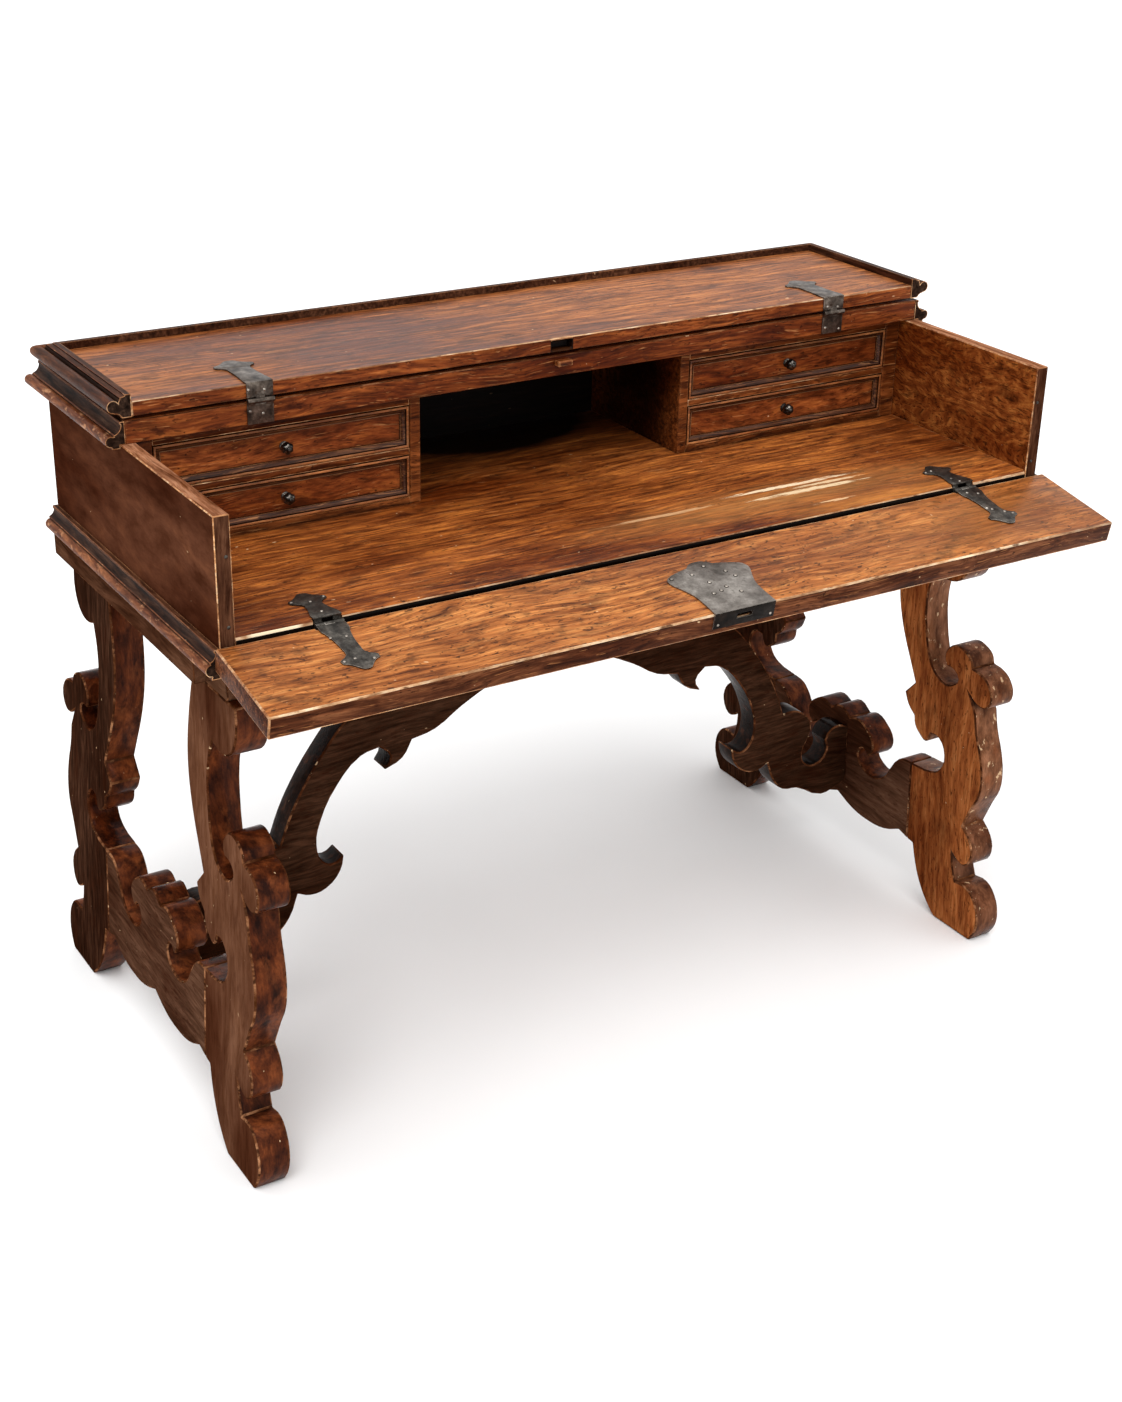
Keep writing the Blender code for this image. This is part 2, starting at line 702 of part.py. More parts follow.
def outer_tabs(leaf, name, low, high, parent, centre, width):
    each = width * 0.31
    for tag, way in (("_a", -1), ("_b", 1)):
        middle = centre + way * (width - each) / 2
        wide = each / 2 - 0.0006
        join(leaf, block(name + tag, (middle - wide, *low), (middle + wide, *high), parent))


def middle_tab(leaf, name, low, high, parent, centre, width):
    wide = width * 0.19 - 0.0012
    join(leaf, block(name, (centre - wide, *low), (centre + wide, *high), parent))


# Lid hinges
front_face = LID_FRONT - SEAT_GAP
leaf_face = front_face - LEAF_THICKNESS
fixed_low = TOP_UNDERSIDE - LID_AXIS_Z + 0.0006
tab_inner = front_face - 0.0004
for side, way in (("left", -1), ("right", 1)):
    place = (way * LID_HINGE_SPREAD + LID_HINGE_SHIFT, 0, 0)
    centre = place[0]
    half = LID_HINGE_WIDTH / 2
    name = side + "_top_leaf"
    spot = (centre, LID_AXIS_Y, LID_AXIS_Z)
    leaf = block(
        name, (centre - half, LID_AXIS_Y + leaf_face, LID_AXIS_Z + fixed_low),
        (centre + half, LID_AXIS_Y + front_face, LID_AXIS_Z - LID_KNUCKLE - 0.0006), desk, IRON)
    outer_tabs(leaf, name + "_tab", (LID_AXIS_Y + 0.0004, LID_AXIS_Z - LID_KNUCKLE - 0.003),
               (LID_AXIS_Y + tab_inner, LID_AXIS_Z + 0.0008), desk, centre, LID_HINGE_WIDTH)
    outer_knuckles(leaf, name + "_knuckle", desk, spot, LID_KNUCKLE, LID_HINGE_WIDTH)
    name = side + "_lid_leaf"
    strap_top = lid_top + SEAT_GAP
    strap = strap_outline(half, half * 0.88, LID_STRAP_LENGTH, half + 0.0095, 0.012)
    leaf = put(name, outline_mesh(name, strap, LEAF_THICKNESS), lid,
               (centre, leaf_face + 0.0002, strap_top + LEAF_THICKNESS / 2), (0, 0, 0), IRON)
    join(leaf, block(name + "_edge", (centre - half, leaf_face, LID_KNUCKLE + 0.0006),
                     (centre + half, front_face, strap_top + LEAF_THICKNESS * 0.8), lid))
    middle_tab(leaf, name + "_tab", (0.0004, -0.0008), (tab_inner, LID_KNUCKLE + 0.003),
               lid, centre, LID_HINGE_WIDTH)
    middle_knuckle(leaf, name + "_knuckle", lid, place, LID_KNUCKLE, LID_HINGE_WIDTH)

# Fall front
fall_front = block(
    "fall_front", (-FALL_HALF, FALL_EDGE, -FALL_THICKNESS), (FALL_HALF, -FALL_HINGE_GAP, 0),
    fall, WARM_WALNUT)

# Fall hinges
notch_half = FALL_HINGE_WIDTH / 2 + 0.0008
plate_start = FALL_KNUCKLE + 0.001
for side, way in (("left", -1), ("right", 1)):
    centre = way * FALL_HINGE_SPREAD
    half = FALL_HINGE_WIDTH / 2
    cut(base_board, block(
        side + "_base_notch",
        (centre - notch_half, -0.01, FALL_AXIS_Z - FALL_KNUCKLE - 0.001),
        (centre + notch_half, FALL_AXIS_Y + 0.0085, WRITING_HEIGHT + 0.01), desk))
    cut(fall_front, block(
        side + "_fall_notch", (centre - notch_half, -0.0065, -FALL_KNUCKLE - 0.001),
        (centre + notch_half, 0.01, 0.01), fall))
    name = side + "_base_leaf"
    spot = (centre, FALL_AXIS_Y, FALL_AXIS_Z)
    strap = strap_outline(half, half * 0.66, BASE_STRAP_LENGTH - plate_start, half + 0.006, 0.010)
    plate_level = WRITING_HEIGHT + SEAT_GAP + LEAF_THICKNESS / 2
    leaf = put(name, outline_mesh(name, strap, LEAF_THICKNESS), desk,
               (centre, FALL_AXIS_Y + plate_start, plate_level), (0, 0, 0), IRON)
    outer_tabs(leaf, name + "_tab", (FALL_AXIS_Y + 0.001, FALL_AXIS_Z - 0.0010),
               (FALL_AXIS_Y + 0.0080, FALL_AXIS_Z + 0.0028), desk, centre, FALL_HINGE_WIDTH)
    outer_tabs(leaf, name + "_riser", (FALL_AXIS_Y + plate_start + 0.0008, FALL_AXIS_Z - 0.0004),
               (FALL_AXIS_Y + 0.0077, plate_level + LEAF_THICKNESS * 0.3), desk, centre,
               FALL_HINGE_WIDTH - 0.001)
    outer_knuckles(leaf, name + "_knuckle", desk, spot, FALL_KNUCKLE, FALL_HINGE_WIDTH)
    name = side + "_fall_leaf"
    strap = strap_outline(half, half * 0.62, FALL_STRAP_LENGTH - plate_start, half + 0.006, 0.012)
    leaf = put(name, outline_mesh(name, strap, LEAF_THICKNESS), fall,
               (centre, -plate_start, SEAT_GAP + LEAF_THICKNESS / 2), (0, 0, math.pi), IRON)
    middle_tab(leaf, name + "_tab", (-plate_start - 0.0015, -0.0012),
               (-0.001, SEAT_GAP + LEAF_THICKNESS * 0.8), fall, centre, FALL_HINGE_WIDTH)
    middle_knuckle(leaf, name + "_knuckle", fall, (centre, 0, 0), FALL_KNUCKLE, FALL_HINGE_WIDTH)


# Lock plate: over the inner face and down the front edge
def plate_outline():
    rear = PLATE_LENGTH
    flare = PLATE_FLARE
    half = [
        corner(PLATE_HALF, 0),
        smooth(PLATE_HALF - 0.0005, rear * 0.22),
        smooth(PLATE_HALF + 0.0010, rear * 0.40),
        smooth(PLATE_HALF + 0.0080, rear * 0.56),
        smooth(flare, rear * 0.70),
        smooth(flare - 0.001, rear * 0.77),
        smooth(flare * 0.86, rear * 0.83),
        smooth(flare * 0.60, rear * 0.88),
        corner(flare * 0.33, rear * 0.915),
        smooth(flare * 0.19, rear * 0.98)]
    return half + [smooth(0, rear)] + flip(half)


plate_front = FALL_EDGE - PLATE_EDGE
plate_level = SEAT_GAP + PLATE_THICKNESS / 2
lock_plate = put(
    "lock_plate", outline_mesh("lock_plate", plate_outline(), PLATE_THICKNESS), fall,
    (LOCK_SHIFT, plate_front + 0.0002, plate_level), (0, 0, 0), IRON)
join(lock_plate, block(
    "plate_edge", (LOCK_SHIFT - PLATE_HALF, plate_front, -PLATE_DROP),
    (LOCK_SHIFT + PLATE_HALF, FALL_EDGE - SEAT_GAP, plate_level + PLATE_THICKNESS * 0.3), fall))
keyway_level = -KEYWAY_DROP
keyway_left = LOCK_SHIFT - KEYWAY_WIDTH / 2
keyway_right = LOCK_SHIFT + KEYWAY_WIDTH / 2
keyway_low = keyway_level - KEYWAY_HEIGHT / 2
keyway_high = keyway_level + KEYWAY_HEIGHT / 2
cut(lock_plate, block(
    "plate_slot", (keyway_left, plate_front - 0.01, keyway_low),
    (keyway_right, FALL_EDGE + 0.003, keyway_high), fall))

# Lock pocket, sliding bolt and keyhole
pocket_front = FALL_EDGE + 0.006
pocket_back = pocket_front + BOLT_DEPTH + 2 * BOLT_CLEARANCE
pocket_half = (BOLT_LENGTH + BOLT_TRAVEL) / 2 + BOLT_CLEARANCE + 0.002
bolt_low = keyway_level - BOLT_HEIGHT / 2
pocket_floor = bolt_low - SEAT_GAP
cut(fall_front, block(
    "bolt_pocket", (LOCK_SHIFT - pocket_half, pocket_front, pocket_floor),
    (LOCK_SHIFT + pocket_half, pocket_back, 0.01), fall))
cut(fall_front, block(
    "plate_mouth", (keyway_left, FALL_EDGE - 0.01, keyway_low),
    (keyway_right, pocket_front + 0.002, keyway_high), fall))
bolt_start = LOCK_SHIFT - (BOLT_LENGTH + BOLT_TRAVEL) / 2
block("lock_bolt", (bolt_start, pocket_front + BOLT_CLEARANCE, bolt_low),
      (bolt_start + BOLT_LENGTH, pocket_back - BOLT_CLEARANCE, bolt_low + BOLT_HEIGHT),
      fall, IRON)
keyhole_place = pocket_back - BOLT_DEPTH / 2
cut(fall_front, rod(
    "keyhole", KEYHOLE_RADIUS, FALL_THICKNESS, fall,
    (LOCK_SHIFT, keyhole_place, pocket_floor + 0.002 - FALL_THICKNESS / 2), (0, 0, 0), 12))

# Drawer columns: the lower drawers run on a raised bed
for side, way in (("left", -1), ("right", 1)):
    inner = way * OPENING_HALF
    outer = way * COLUMN_INNER
    block(side + "_partition",
          (min(inner, outer), DRAWER_PLANE, WRITING_HEIGHT + SEAT_GAP),
          (max(inner, outer), BACK_FACE, SIDE_TOP), desk, DARK_WALNUT, ARRIS)
    inner = way * STILE_INNER
    outer = way * (INNER_HALF - SEAT_GAP)
    block(side + "_stile",
          (min(inner, outer), DRAWER_PLANE, WRITING_HEIGHT + SEAT_GAP),
          (max(inner, outer), BACK_FACE, SIDE_TOP), desk, DARK_WALNUT, ARRIS)
    inner = way * (COLUMN_INNER + SEAT_GAP)
    outer = way * (STILE_INNER - SEAT_GAP)
    join(base_board, block(
        side + "_drawer_bed", (min(inner, outer), DRAWER_PLANE + 0.001, WRITING_HEIGHT - 0.005),
        (max(inner, outer), BACK_FACE, DRAWER_BED), desk))
    block(side + "_shelf",
          (min(inner, outer), DRAWER_PLANE + 0.001, SHELF_UNDERSIDE),
          (max(inner, outer), BACK_FACE, SHELF_TOP), desk, DARK_WALNUT)
    block(side + "_top_rail",
          (min(inner, outer), DRAWER_PLANE + 0.001, RAIL_UNDERSIDE),
          (max(inner, outer), DRAWER_PLANE + TOP_RAIL_THICKNESS, SIDE_TOP), desk, DARK_WALNUT)


# Drawer front: a raised lip round a sunk field
def front_mesh(name, wide, deep, high):
    mesh = bpy.data.meshes.new(name)
    shape = bmesh.new()
    bmesh.ops.create_cube(shape, size=1)
    bmesh.ops.scale(shape, vec=(wide, deep, high), verts=shape.verts)
    shape.faces.ensure_lookup_table()
    face = min(shape.faces, key=lambda item: item.calc_center_median().y)
    bmesh.ops.inset_individual(shape, faces=[face], thickness=FRONT_LIP)
    bmesh.ops.inset_individual(shape, faces=[face], thickness=FRONT_BEVEL, depth=-FRONT_SINK)
    shape.to_mesh(mesh)
    shape.free()
    return mesh


# Knob: a turned stem and a lobed head
def knob_mesh(name):
    radius = KNOB_RADIUS
    reach = KNOB_REACH
    profile = [
        (0, reach), (radius * 0.5, reach * 0.97), (radius * 0.88, reach * 0.83),
        (radius, reach * 0.65), (radius * 0.88, reach * 0.47), (radius * 0.5, reach * 0.36),
        (radius * 0.42, reach * 0.25), (radius * 0.5, reach * 0.09), (radius * 0.8, reach * 0.05),
        (radius * 0.8, 0), (0, 0)]
    mesh = bpy.data.meshes.new(name)
    edges = [(step, step + 1) for step in range(len(profile) - 1)]
    mesh.from_pydata([(across, 0, up) for across, up in profile], edges, [])
    pattern = put(name + "_pattern", mesh, None, (0, 0, 0))
    turn = pattern.modifiers.new("turn", "SCREW")
    turn.steps = 24
    turn.render_steps = 24
    turn.use_merge_vertices = True
    turn.merge_threshold = 0.00001
    layers = bpy.context.evaluated_depsgraph_get()
    head = bpy.data.meshes.new_from_object(pattern.evaluated_get(layers))
    bpy.data.objects.remove(pattern)
    for point in head.vertices:
        if point.co.z > reach * 0.3:
            angle = math.atan2(point.co.y, point.co.x)
            swell = 1 + 0.10 * (math.cos(KNOB_LOBES * angle) - 1) / 2
            point.co.x *= swell
            point.co.y *= swell
    return head


drawer_wide = COLUMN_WIDTH - 2 * DRAWER_SLACK
box_wide = drawer_wide - 0.003
box_inner = box_wide / 2 - DRAWER_WALL
box_outline = [
    corner(-box_wide / 2, 0),
    corner(-box_inner, 0),
    corner(-box_inner, DRAWER_LENGTH - DRAWER_WALL),
    corner(box_inner, DRAWER_LENGTH - DRAWER_WALL),
    corner(box_inner, 0),
    corner(box_wide / 2, 0),
    corner(box_wide / 2, DRAWER_LENGTH),
    corner(-box_wide / 2, DRAWER_LENGTH)]
box_start = DRAWER_FRONT + SEAT_GAP
floor_edge = box_inner - SEAT_GAP
floor_back = box_start + DRAWER_LENGTH - DRAWER_WALL - SEAT_GAP
for side, way in (("left", -1), ("right", 1)):
    for level, seat in (("lower", DRAWER_BED), ("upper", SHELF_TOP)):
        tag = side + "_" + level
        drawer = pivot(tag + "_drawer", (way * COLUMN_MIDDLE, DRAWER_PLANE, seat + SEAT_GAP), desk)
        name = tag + "_front"
        put(name, front_mesh(name, drawer_wide, DRAWER_FRONT, DRAWER_HEIGHT), drawer,
            (0, DRAWER_FRONT / 2, DRAWER_HEIGHT / 2), (0, 0, 0), DARK_WALNUT)
        name = tag + "_box"
        put(name, outline_mesh(name, box_outline, DRAWER_BOX_HEIGHT, 1), drawer,
            (0, box_start, DRAWER_BOX_HEIGHT / 2), (0, 0, 0), PALE_WOOD)
        block(tag + "_bottom", (-floor_edge, box_start, 0), (floor_edge, floor_back, DRAWER_BOTTOM),
              drawer, PALE_WOOD)
        name = tag + "_knob"
        put(name, knob_mesh(name), drawer, (0, FRONT_SINK - SEAT_GAP, DRAWER_HEIGHT / 2),
            (QUARTER, 0, 0), IRON)
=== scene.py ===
import bpy
import json
import math
from mathutils import Matrix, Vector

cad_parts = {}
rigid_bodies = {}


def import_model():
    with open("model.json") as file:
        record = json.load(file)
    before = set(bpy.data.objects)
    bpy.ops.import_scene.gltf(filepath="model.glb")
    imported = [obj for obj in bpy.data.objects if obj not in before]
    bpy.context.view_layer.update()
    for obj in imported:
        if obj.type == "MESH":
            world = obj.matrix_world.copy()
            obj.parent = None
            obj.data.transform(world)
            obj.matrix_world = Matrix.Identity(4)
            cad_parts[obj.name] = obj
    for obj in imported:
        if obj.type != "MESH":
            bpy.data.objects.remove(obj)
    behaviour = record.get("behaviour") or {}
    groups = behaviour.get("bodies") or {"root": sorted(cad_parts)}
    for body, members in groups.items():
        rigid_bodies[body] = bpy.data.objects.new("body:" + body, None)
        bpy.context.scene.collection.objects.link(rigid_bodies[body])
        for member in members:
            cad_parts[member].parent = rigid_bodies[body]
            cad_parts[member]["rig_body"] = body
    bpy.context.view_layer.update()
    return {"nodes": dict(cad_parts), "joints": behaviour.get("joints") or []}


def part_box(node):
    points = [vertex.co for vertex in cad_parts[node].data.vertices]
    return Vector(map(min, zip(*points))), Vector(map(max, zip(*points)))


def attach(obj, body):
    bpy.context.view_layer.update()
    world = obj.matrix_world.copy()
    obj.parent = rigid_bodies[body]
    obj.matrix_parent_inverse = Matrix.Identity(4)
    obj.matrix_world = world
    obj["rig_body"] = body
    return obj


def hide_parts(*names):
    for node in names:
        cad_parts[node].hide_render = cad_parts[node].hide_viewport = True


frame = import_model()
print("frame loaded:", len(frame["nodes"]), "nodes")


def linear(code):  # sRGB hex to a linear colour
    parts = [int(code[i:i + 2], 16) / 255 for i in (1, 3, 5)]
    return [p / 12.92 if p <= .04045 else ((p + .055) / 1.055) ** 2.4 for p in parts] + [1]


def addNode(tree, kind, values=None, links=None, stops=None, **traits):
    node = tree.nodes.new(kind)
    for trait, value in traits.items():
        setattr(node, trait, value)
    for socket, value in (values or {}).items():
        node.inputs[socket].default_value = value
    for socket, source in (links or {}).items():
        tree.links.new(source, node.inputs[socket])
    for i, (at, tint) in enumerate(stops or []):
        stop = node.color_ramp.elements[i] if i < 2 else node.color_ramp.elements.new(at)
        stop.position = at
        stop.color = linear(tint)
    return node


# Camera, floor and light
shot = {
    "place": (-1.5071, -2.3945, 1.7993),
    "yaw": .5604, "pitch": .4445, "roll": .0221,  # radians
    "lens": 53.70,
}
look = Vector((math.sin(shot["yaw"]) * math.cos(shot["pitch"]),
               math.cos(shot["yaw"]) * math.cos(shot["pitch"]), -math.sin(shot["pitch"])))
level = Vector((math.cos(shot["yaw"]), -math.sin(shot["yaw"]), 0))
rise = level.cross(look)
across = level * math.cos(shot["roll"]) + rise * math.sin(shot["roll"])
upward = rise * math.cos(shot["roll"]) - level * math.sin(shot["roll"])
bpy.ops.object.select_all(action="DESELECT")
bpy.ops.object.camera_add()
camera = bpy.context.object
camera.name = "photoCamera"
camera.data.lens = shot["lens"]
camera.data.sensor_width = 36
camera.data.clip_end = 200
camera.matrix_world = Matrix((across, upward, -look)).transposed().to_4x4()
camera.location = shot["place"]
bpy.context.scene.camera = camera

light = {
    "zenith": 1.3, "horizon": .95,  # white overhead, dimmer round the walls
    "sunStrength": 1.5, "sunAngle": 34,  # degrees across, so shadows stay soft
    "sunFrom": (-.36, -.50, 1.0),
    "floorSize": 90, "floorDrop": .0006,
}
world = bpy.data.worlds.new("whiteStudio")
bpy.context.scene.world = world
world.use_nodes = True
sky = world.node_tree
skyPlace = addNode(sky, "ShaderNodeTexCoord")
skyPart = addNode(sky, "ShaderNodeSeparateXYZ", links={"Vector": skyPlace.outputs["Generated"]})
skyRise = addNode(sky, "ShaderNodeMapRange", {"To Min": light["horizon"], "To Max": light["zenith"]},
                  {"Value": skyPart.outputs["Z"]})
sky.nodes["Background"].inputs["Color"].default_value = linear("#ffffff")
sky.links.new(skyRise.outputs["Result"], sky.nodes["Background"].inputs["Strength"])
bpy.ops.object.light_add(type="SUN", location=(-2, -2, 4))
sun = bpy.context.object
sun.name = "softOverhead"
sun.data.energy = light["sunStrength"]
sun.data.angle = math.radians(light["sunAngle"])
sun.rotation_euler = Vector(light["sunFrom"]).to_track_quat("Z", "Y").to_euler()
bpy.ops.mesh.primitive_plane_add(size=light["floorSize"], location=(0, 0, -light["floorDrop"]))
floor = bpy.context.object
floor.name = "paleFloor"
paper = bpy.data.materials.new("Studio_paper")  # seamless pale paper, faintly cloudy
paper.use_nodes = True
paperTree = paper.node_tree
paperShader = paperTree.nodes["Principled BSDF"]
paperShader.inputs["Roughness"].default_value = .9
paperPlace = addNode(paperTree, "ShaderNodeTexCoord")
paperCloud = addNode(paperTree, "ShaderNodeTexNoise", {"Scale": 2.5}, {"Vector": paperPlace.outputs["Object"]})
paperTint = addNode(paperTree, "ShaderNodeValToRGB", links={"Fac": paperCloud.outputs["Fac"]},
                    stops=[(.3, "#f1f1f1"), (.7, "#f4f4f4")])
paperTree.links.new(paperTint.outputs["Color"], paperShader.inputs["Base Color"])
floor.data.materials.append(paper)
bpy.context.scene.view_settings.view_transform = "Standard"
print("camera, floor and light set")


# Old walnut: sawn boards, oiled and waxed for three centuries. Streaks and hairs run along the grain
# under short dark dashes, smudges, dents and pale specks, with black wax and painted shade in the hollows
# and bare wood on the corners. Dashes and hairs are drawn two to four times too wide so that they show.
def makeWalnut(name, finish):
    material = bpy.data.materials.new(name)
    material.use_nodes = True
    tree = material.node_tree
    tree.nodes.clear()
    place = addNode(tree, "ShaderNodeTexCoord")
    turns = {"x": (0, 0, 0), "y": (0, 0, -math.pi / 2), "z": (0, math.pi / 2, 0)}
    board = addNode(tree, "ShaderNodeMapping", {"Location": finish["shift"], "Rotation": turns[finish["grain"]]},
                    {"Vector": place.outputs["Object"]})
    slack = addNode(tree, "ShaderNodeMapping", {"Scale": (.35, 1, 1)}, {"Vector": board.outputs["Vector"]})
    sway = addNode(tree, "ShaderNodeTexNoise", {"Scale": 9, "Detail": 3}, {"Vector": slack.outputs["Vector"]})
    bent = addNode(tree, "ShaderNodeVectorMath", {1: [finish["sway"]] * 3},
                   {0: sway.outputs["Color"], 2: board.outputs["Vector"]}, operation="MULTIPLY_ADD")

    def drawnNoise(size, detail, rough=.6):  # noise drawn out along the grain, size in millimetres
        drawn = addNode(tree, "ShaderNodeMapping", {"Scale": [1000 / size[0], 1000 / size[1], 1000 / size[1]]},
                        {"Vector": bent.outputs["Vector"]})
        return addNode(tree, "ShaderNodeTexNoise", {"Scale": 1, "Detail": detail, "Roughness": rough},
                       {"Vector": drawn.outputs["Vector"]}).outputs["Fac"]

    streaks = drawnNoise(finish["streak"], 5, .64)
    tint = addNode(tree, "ShaderNodeValToRGB", links={"Fac": streaks},
                   stops=[(.34, finish["dark"]), (.67, finish["light"]), (.5, finish["mid"])])
    hairs = addNode(tree, "ShaderNodeMapRange",
                    {"From Min": .3, "From Max": .7, "To Min": 1 - finish["hair"], "To Max": 1 + finish["hair"]},
                    {"Value": drawnNoise((finish["streak"][0] * .7, 2.2), 1)})
    haired = addNode(tree, "ShaderNodeVectorMath", links={0: tint.outputs["Color"], "Scale": hairs.outputs["Result"]},
                     operation="SCALE")
    clouds = addNode(tree, "ShaderNodeTexNoise", {"Scale": 7, "Detail": 3}, {"Vector": slack.outputs["Vector"]})
    shade = addNode(tree, "ShaderNodeValToRGB", links={"Fac": clouds.outputs["Fac"]},
                    stops=[(.36, finish["cloud"]), (.60, "#ffffff")])
    aged = addNode(tree, "ShaderNodeMix", {0: 1.0}, {6: haired.outputs["Vector"], 7: shade.outputs["Color"]},
                   data_type="RGBA", blend_type="MULTIPLY")
    lastTint = aged.outputs[2]
    for mark in finish["marks"]:
        markMask = addNode(tree, "ShaderNodeMapRange",
                           {"From Min": mark["from"], "From Max": mark["to"], "To Max": mark["share"]},
                           {"Value": drawnNoise(mark["size"], mark["detail"])})
        lastTint = addNode(tree, "ShaderNodeMix", {7: linear(mark["tint"])},
                           {0: markMask.outputs["Result"], 6: lastTint}, data_type="RGBA").outputs[2]
    # bare wood where corners rub
    edge = addNode(tree, "ShaderNodeAmbientOcclusion", {"Distance": finish["wearMm"] / 1000},
                   samples=6, inside=True, only_local=True)
    rub = addNode(tree, "ShaderNodeTexNoise", {"Scale": 32, "Detail": 5, "Roughness": .7},
                  {"Vector": slack.outputs["Vector"]})
    bare = addNode(tree, "ShaderNodeMath", links={0: rub.outputs["Fac"], 1: edge.outputs["AO"]}, operation="SUBTRACT")
    wearMask = addNode(tree, "ShaderNodeMapRange",
                       {"From Min": finish["wearFrom"], "From Max": finish["wearFrom"] + .3, "To Max": finish["wear"]},
                       {"Value": bare.outputs["Value"]})
    worn = addNode(tree, "ShaderNodeMix", {7: linear(finish["bare"])},
                   {0: wearMask.outputs["Result"], 6: lastTint}, data_type="RGBA")
    # black wax in the hollows and painted shade there: darker wherever ambient occlusion finds a hollow
    hollow = addNode(tree, "ShaderNodeAmbientOcclusion", {"Distance": finish["waxShadeMm"] / 1000},
                     samples=6, only_local=True)
    waxShadeMask = addNode(tree, "ShaderNodeMapRange", {"From Min": .95, "From Max": .45, "To Max": finish["waxShade"]},
                       {"Value": hollow.outputs["AO"]})
    waxedAndShaded = addNode(tree, "ShaderNodeMix", {7: linear("#0b0604")},
                    {0: waxShadeMask.outputs["Result"], 6: worn.outputs[2]}, data_type="RGBA")
    lastTint = waxedAndShaded.outputs[2]
    for markedPatch in finish.get("scuffsAndShadePatches", []):  # patches rubbed pale, and dark patches of painted shadow, torn along the grain
        patch = addNode(tree, "ShaderNodeMapping",
                        {"Location": [-a / b for a, b in zip(markedPatch["at"], markedPatch["size"])],
                         "Scale": [1 / b for b in markedPatch["size"]]}, {"Vector": place.outputs["Object"]})
        spread = addNode(tree, "ShaderNodeTexGradient", links={"Vector": patch.outputs["Vector"]},
                         gradient_type="SPHERICAL")
        both = addNode(tree, "ShaderNodeMath", links={0: spread.outputs["Fac"], 1: drawnNoise(markedPatch["tear"], 3)},
                       operation="MULTIPLY")
        patchMask = addNode(tree, "ShaderNodeMapRange",
                            {"From Min": markedPatch["from"], "From Max": markedPatch["to"], "To Max": markedPatch["share"]},
                            {"Value": both.outputs["Value"]})
        lastTint = addNode(tree, "ShaderNodeMix", {7: linear(markedPatch["tint"])},
                           {0: patchMask.outputs["Result"], 6: lastTint}, data_type="RGBA").outputs[2]
    rough = addNode(tree, "ShaderNodeMapRange",
                    {"From Min": .35, "From Max": .65,
                     "To Min": finish["rough"] - .08, "To Max": finish["rough"] + .12},
                    {"Value": clouds.outputs["Fac"]})
    relief = addNode(tree, "ShaderNodeBump", {"Strength": finish["relief"], "Distance": .0012}, {"Height": streaks})
    dents = addNode(tree, "ShaderNodeTexNoise", {"Scale": 38, "Detail": 3}, {"Vector": slack.outputs["Vector"]})
    uneven = addNode(tree, "ShaderNodeBump", {"Strength": finish["uneven"], "Distance": .006},
                     {"Height": dents.outputs["Fac"], "Normal": relief.outputs["Normal"]})
    shader = addNode(tree, "ShaderNodeBsdfPrincipled",
                     {"IOR": 1.5, "Specular IOR Level": finish["gloss"], "Coat Weight": finish["wax"],
                      "Coat Roughness": finish["waxRough"], "Coat IOR": 1.5},
                     {"Base Color": lastTint, "Roughness": rough.outputs["Result"],
                      "Normal": uneven.outputs["Normal"]})
    addNode(tree, "ShaderNodeOutputMaterial", links={"Surface": shader.outputs["BSDF"]})
    return material


# Marks in the wood: length and width in millimetres, the noise level where they start and are full
dashes = {"size": (22, 3.2), "detail": 2, "from": .59, "to": .66, "share": .62, "tint": "#2a0f05"}
flecks = {"size": (11, 5), "detail": 2, "from": .65, "to": .70, "share": .75, "tint": "#1f0c05"}
smudges = {"size": (70, 26), "detail": 5, "from": .54, "to": .70, "share": .66, "tint": "#2f1206"}
paleHairs = {"size": (75, 2.6), "detail": 2, "from": .64, "to": .71, "share": .52, "tint": "#c28450"}
specks = {"size": (8, 5), "detail": 0, "from": .87, "to": .90, "share": .65, "tint": "#e2bd92"}
stains = {"size": (34, 26), "detail": 4, "from": .57, "to": .68, "share": .6, "tint": "#170a05"}
rubs = {"size": (46, 30), "detail": 5, "from": .56, "to": .70, "share": .5, "tint": "#8a4b28"}
chips = {"size": (16, 9), "detail": 3, "from": .63, "to": .68, "share": .8, "tint": "#e0bd94"}
breaks = {"size": (26, 12), "detail": 4, "from": .52, "to": .62, "share": .85, "tint": "#4a2812"}
walnut = {  # what the boards share
    "grain": "x", "shift": (0, 0, .13), "sway": .055, "streak": (95, 7), "hair": .27,
    "dark": "#52240b", "mid": "#8e4c20", "light": "#c67632", "cloud": "#a68d7e",
    "marks": [smudges, paleHairs, dashes, flecks, specks],
    "wearMm": 5, "wearFrom": -.10, "wear": .6, "bare": "#b67f50",
    "waxShadeMm": 10, "waxShade": .8, "rough": .40, "gloss": .12, "wax": 0, "waxRough": .25, "relief": .3, "uneven": .12,
}
darkWalnut = walnut | {
    "streak": (60, 6), "hair": .16,
    "dark": "#381a0c", "mid": "#542c19", "light": "#6e4025", "cloud": "#a99388", "bare": "#96603a",
    "marks": [smudges | {"share": .45}, dashes | {"share": .5}, specks | {"share": .5}],
    "rough": .45, "gloss": 0,
}
sawnEdge = darkWalnut | {  # the sawn edges of the legs and stretchers
    "grain": "z", "streak": (50, 18), "rough": .30, "gloss": .05, "uneven": .35, "wear": .3, "waxShadeMm": 16, "waxShade": .95,
}
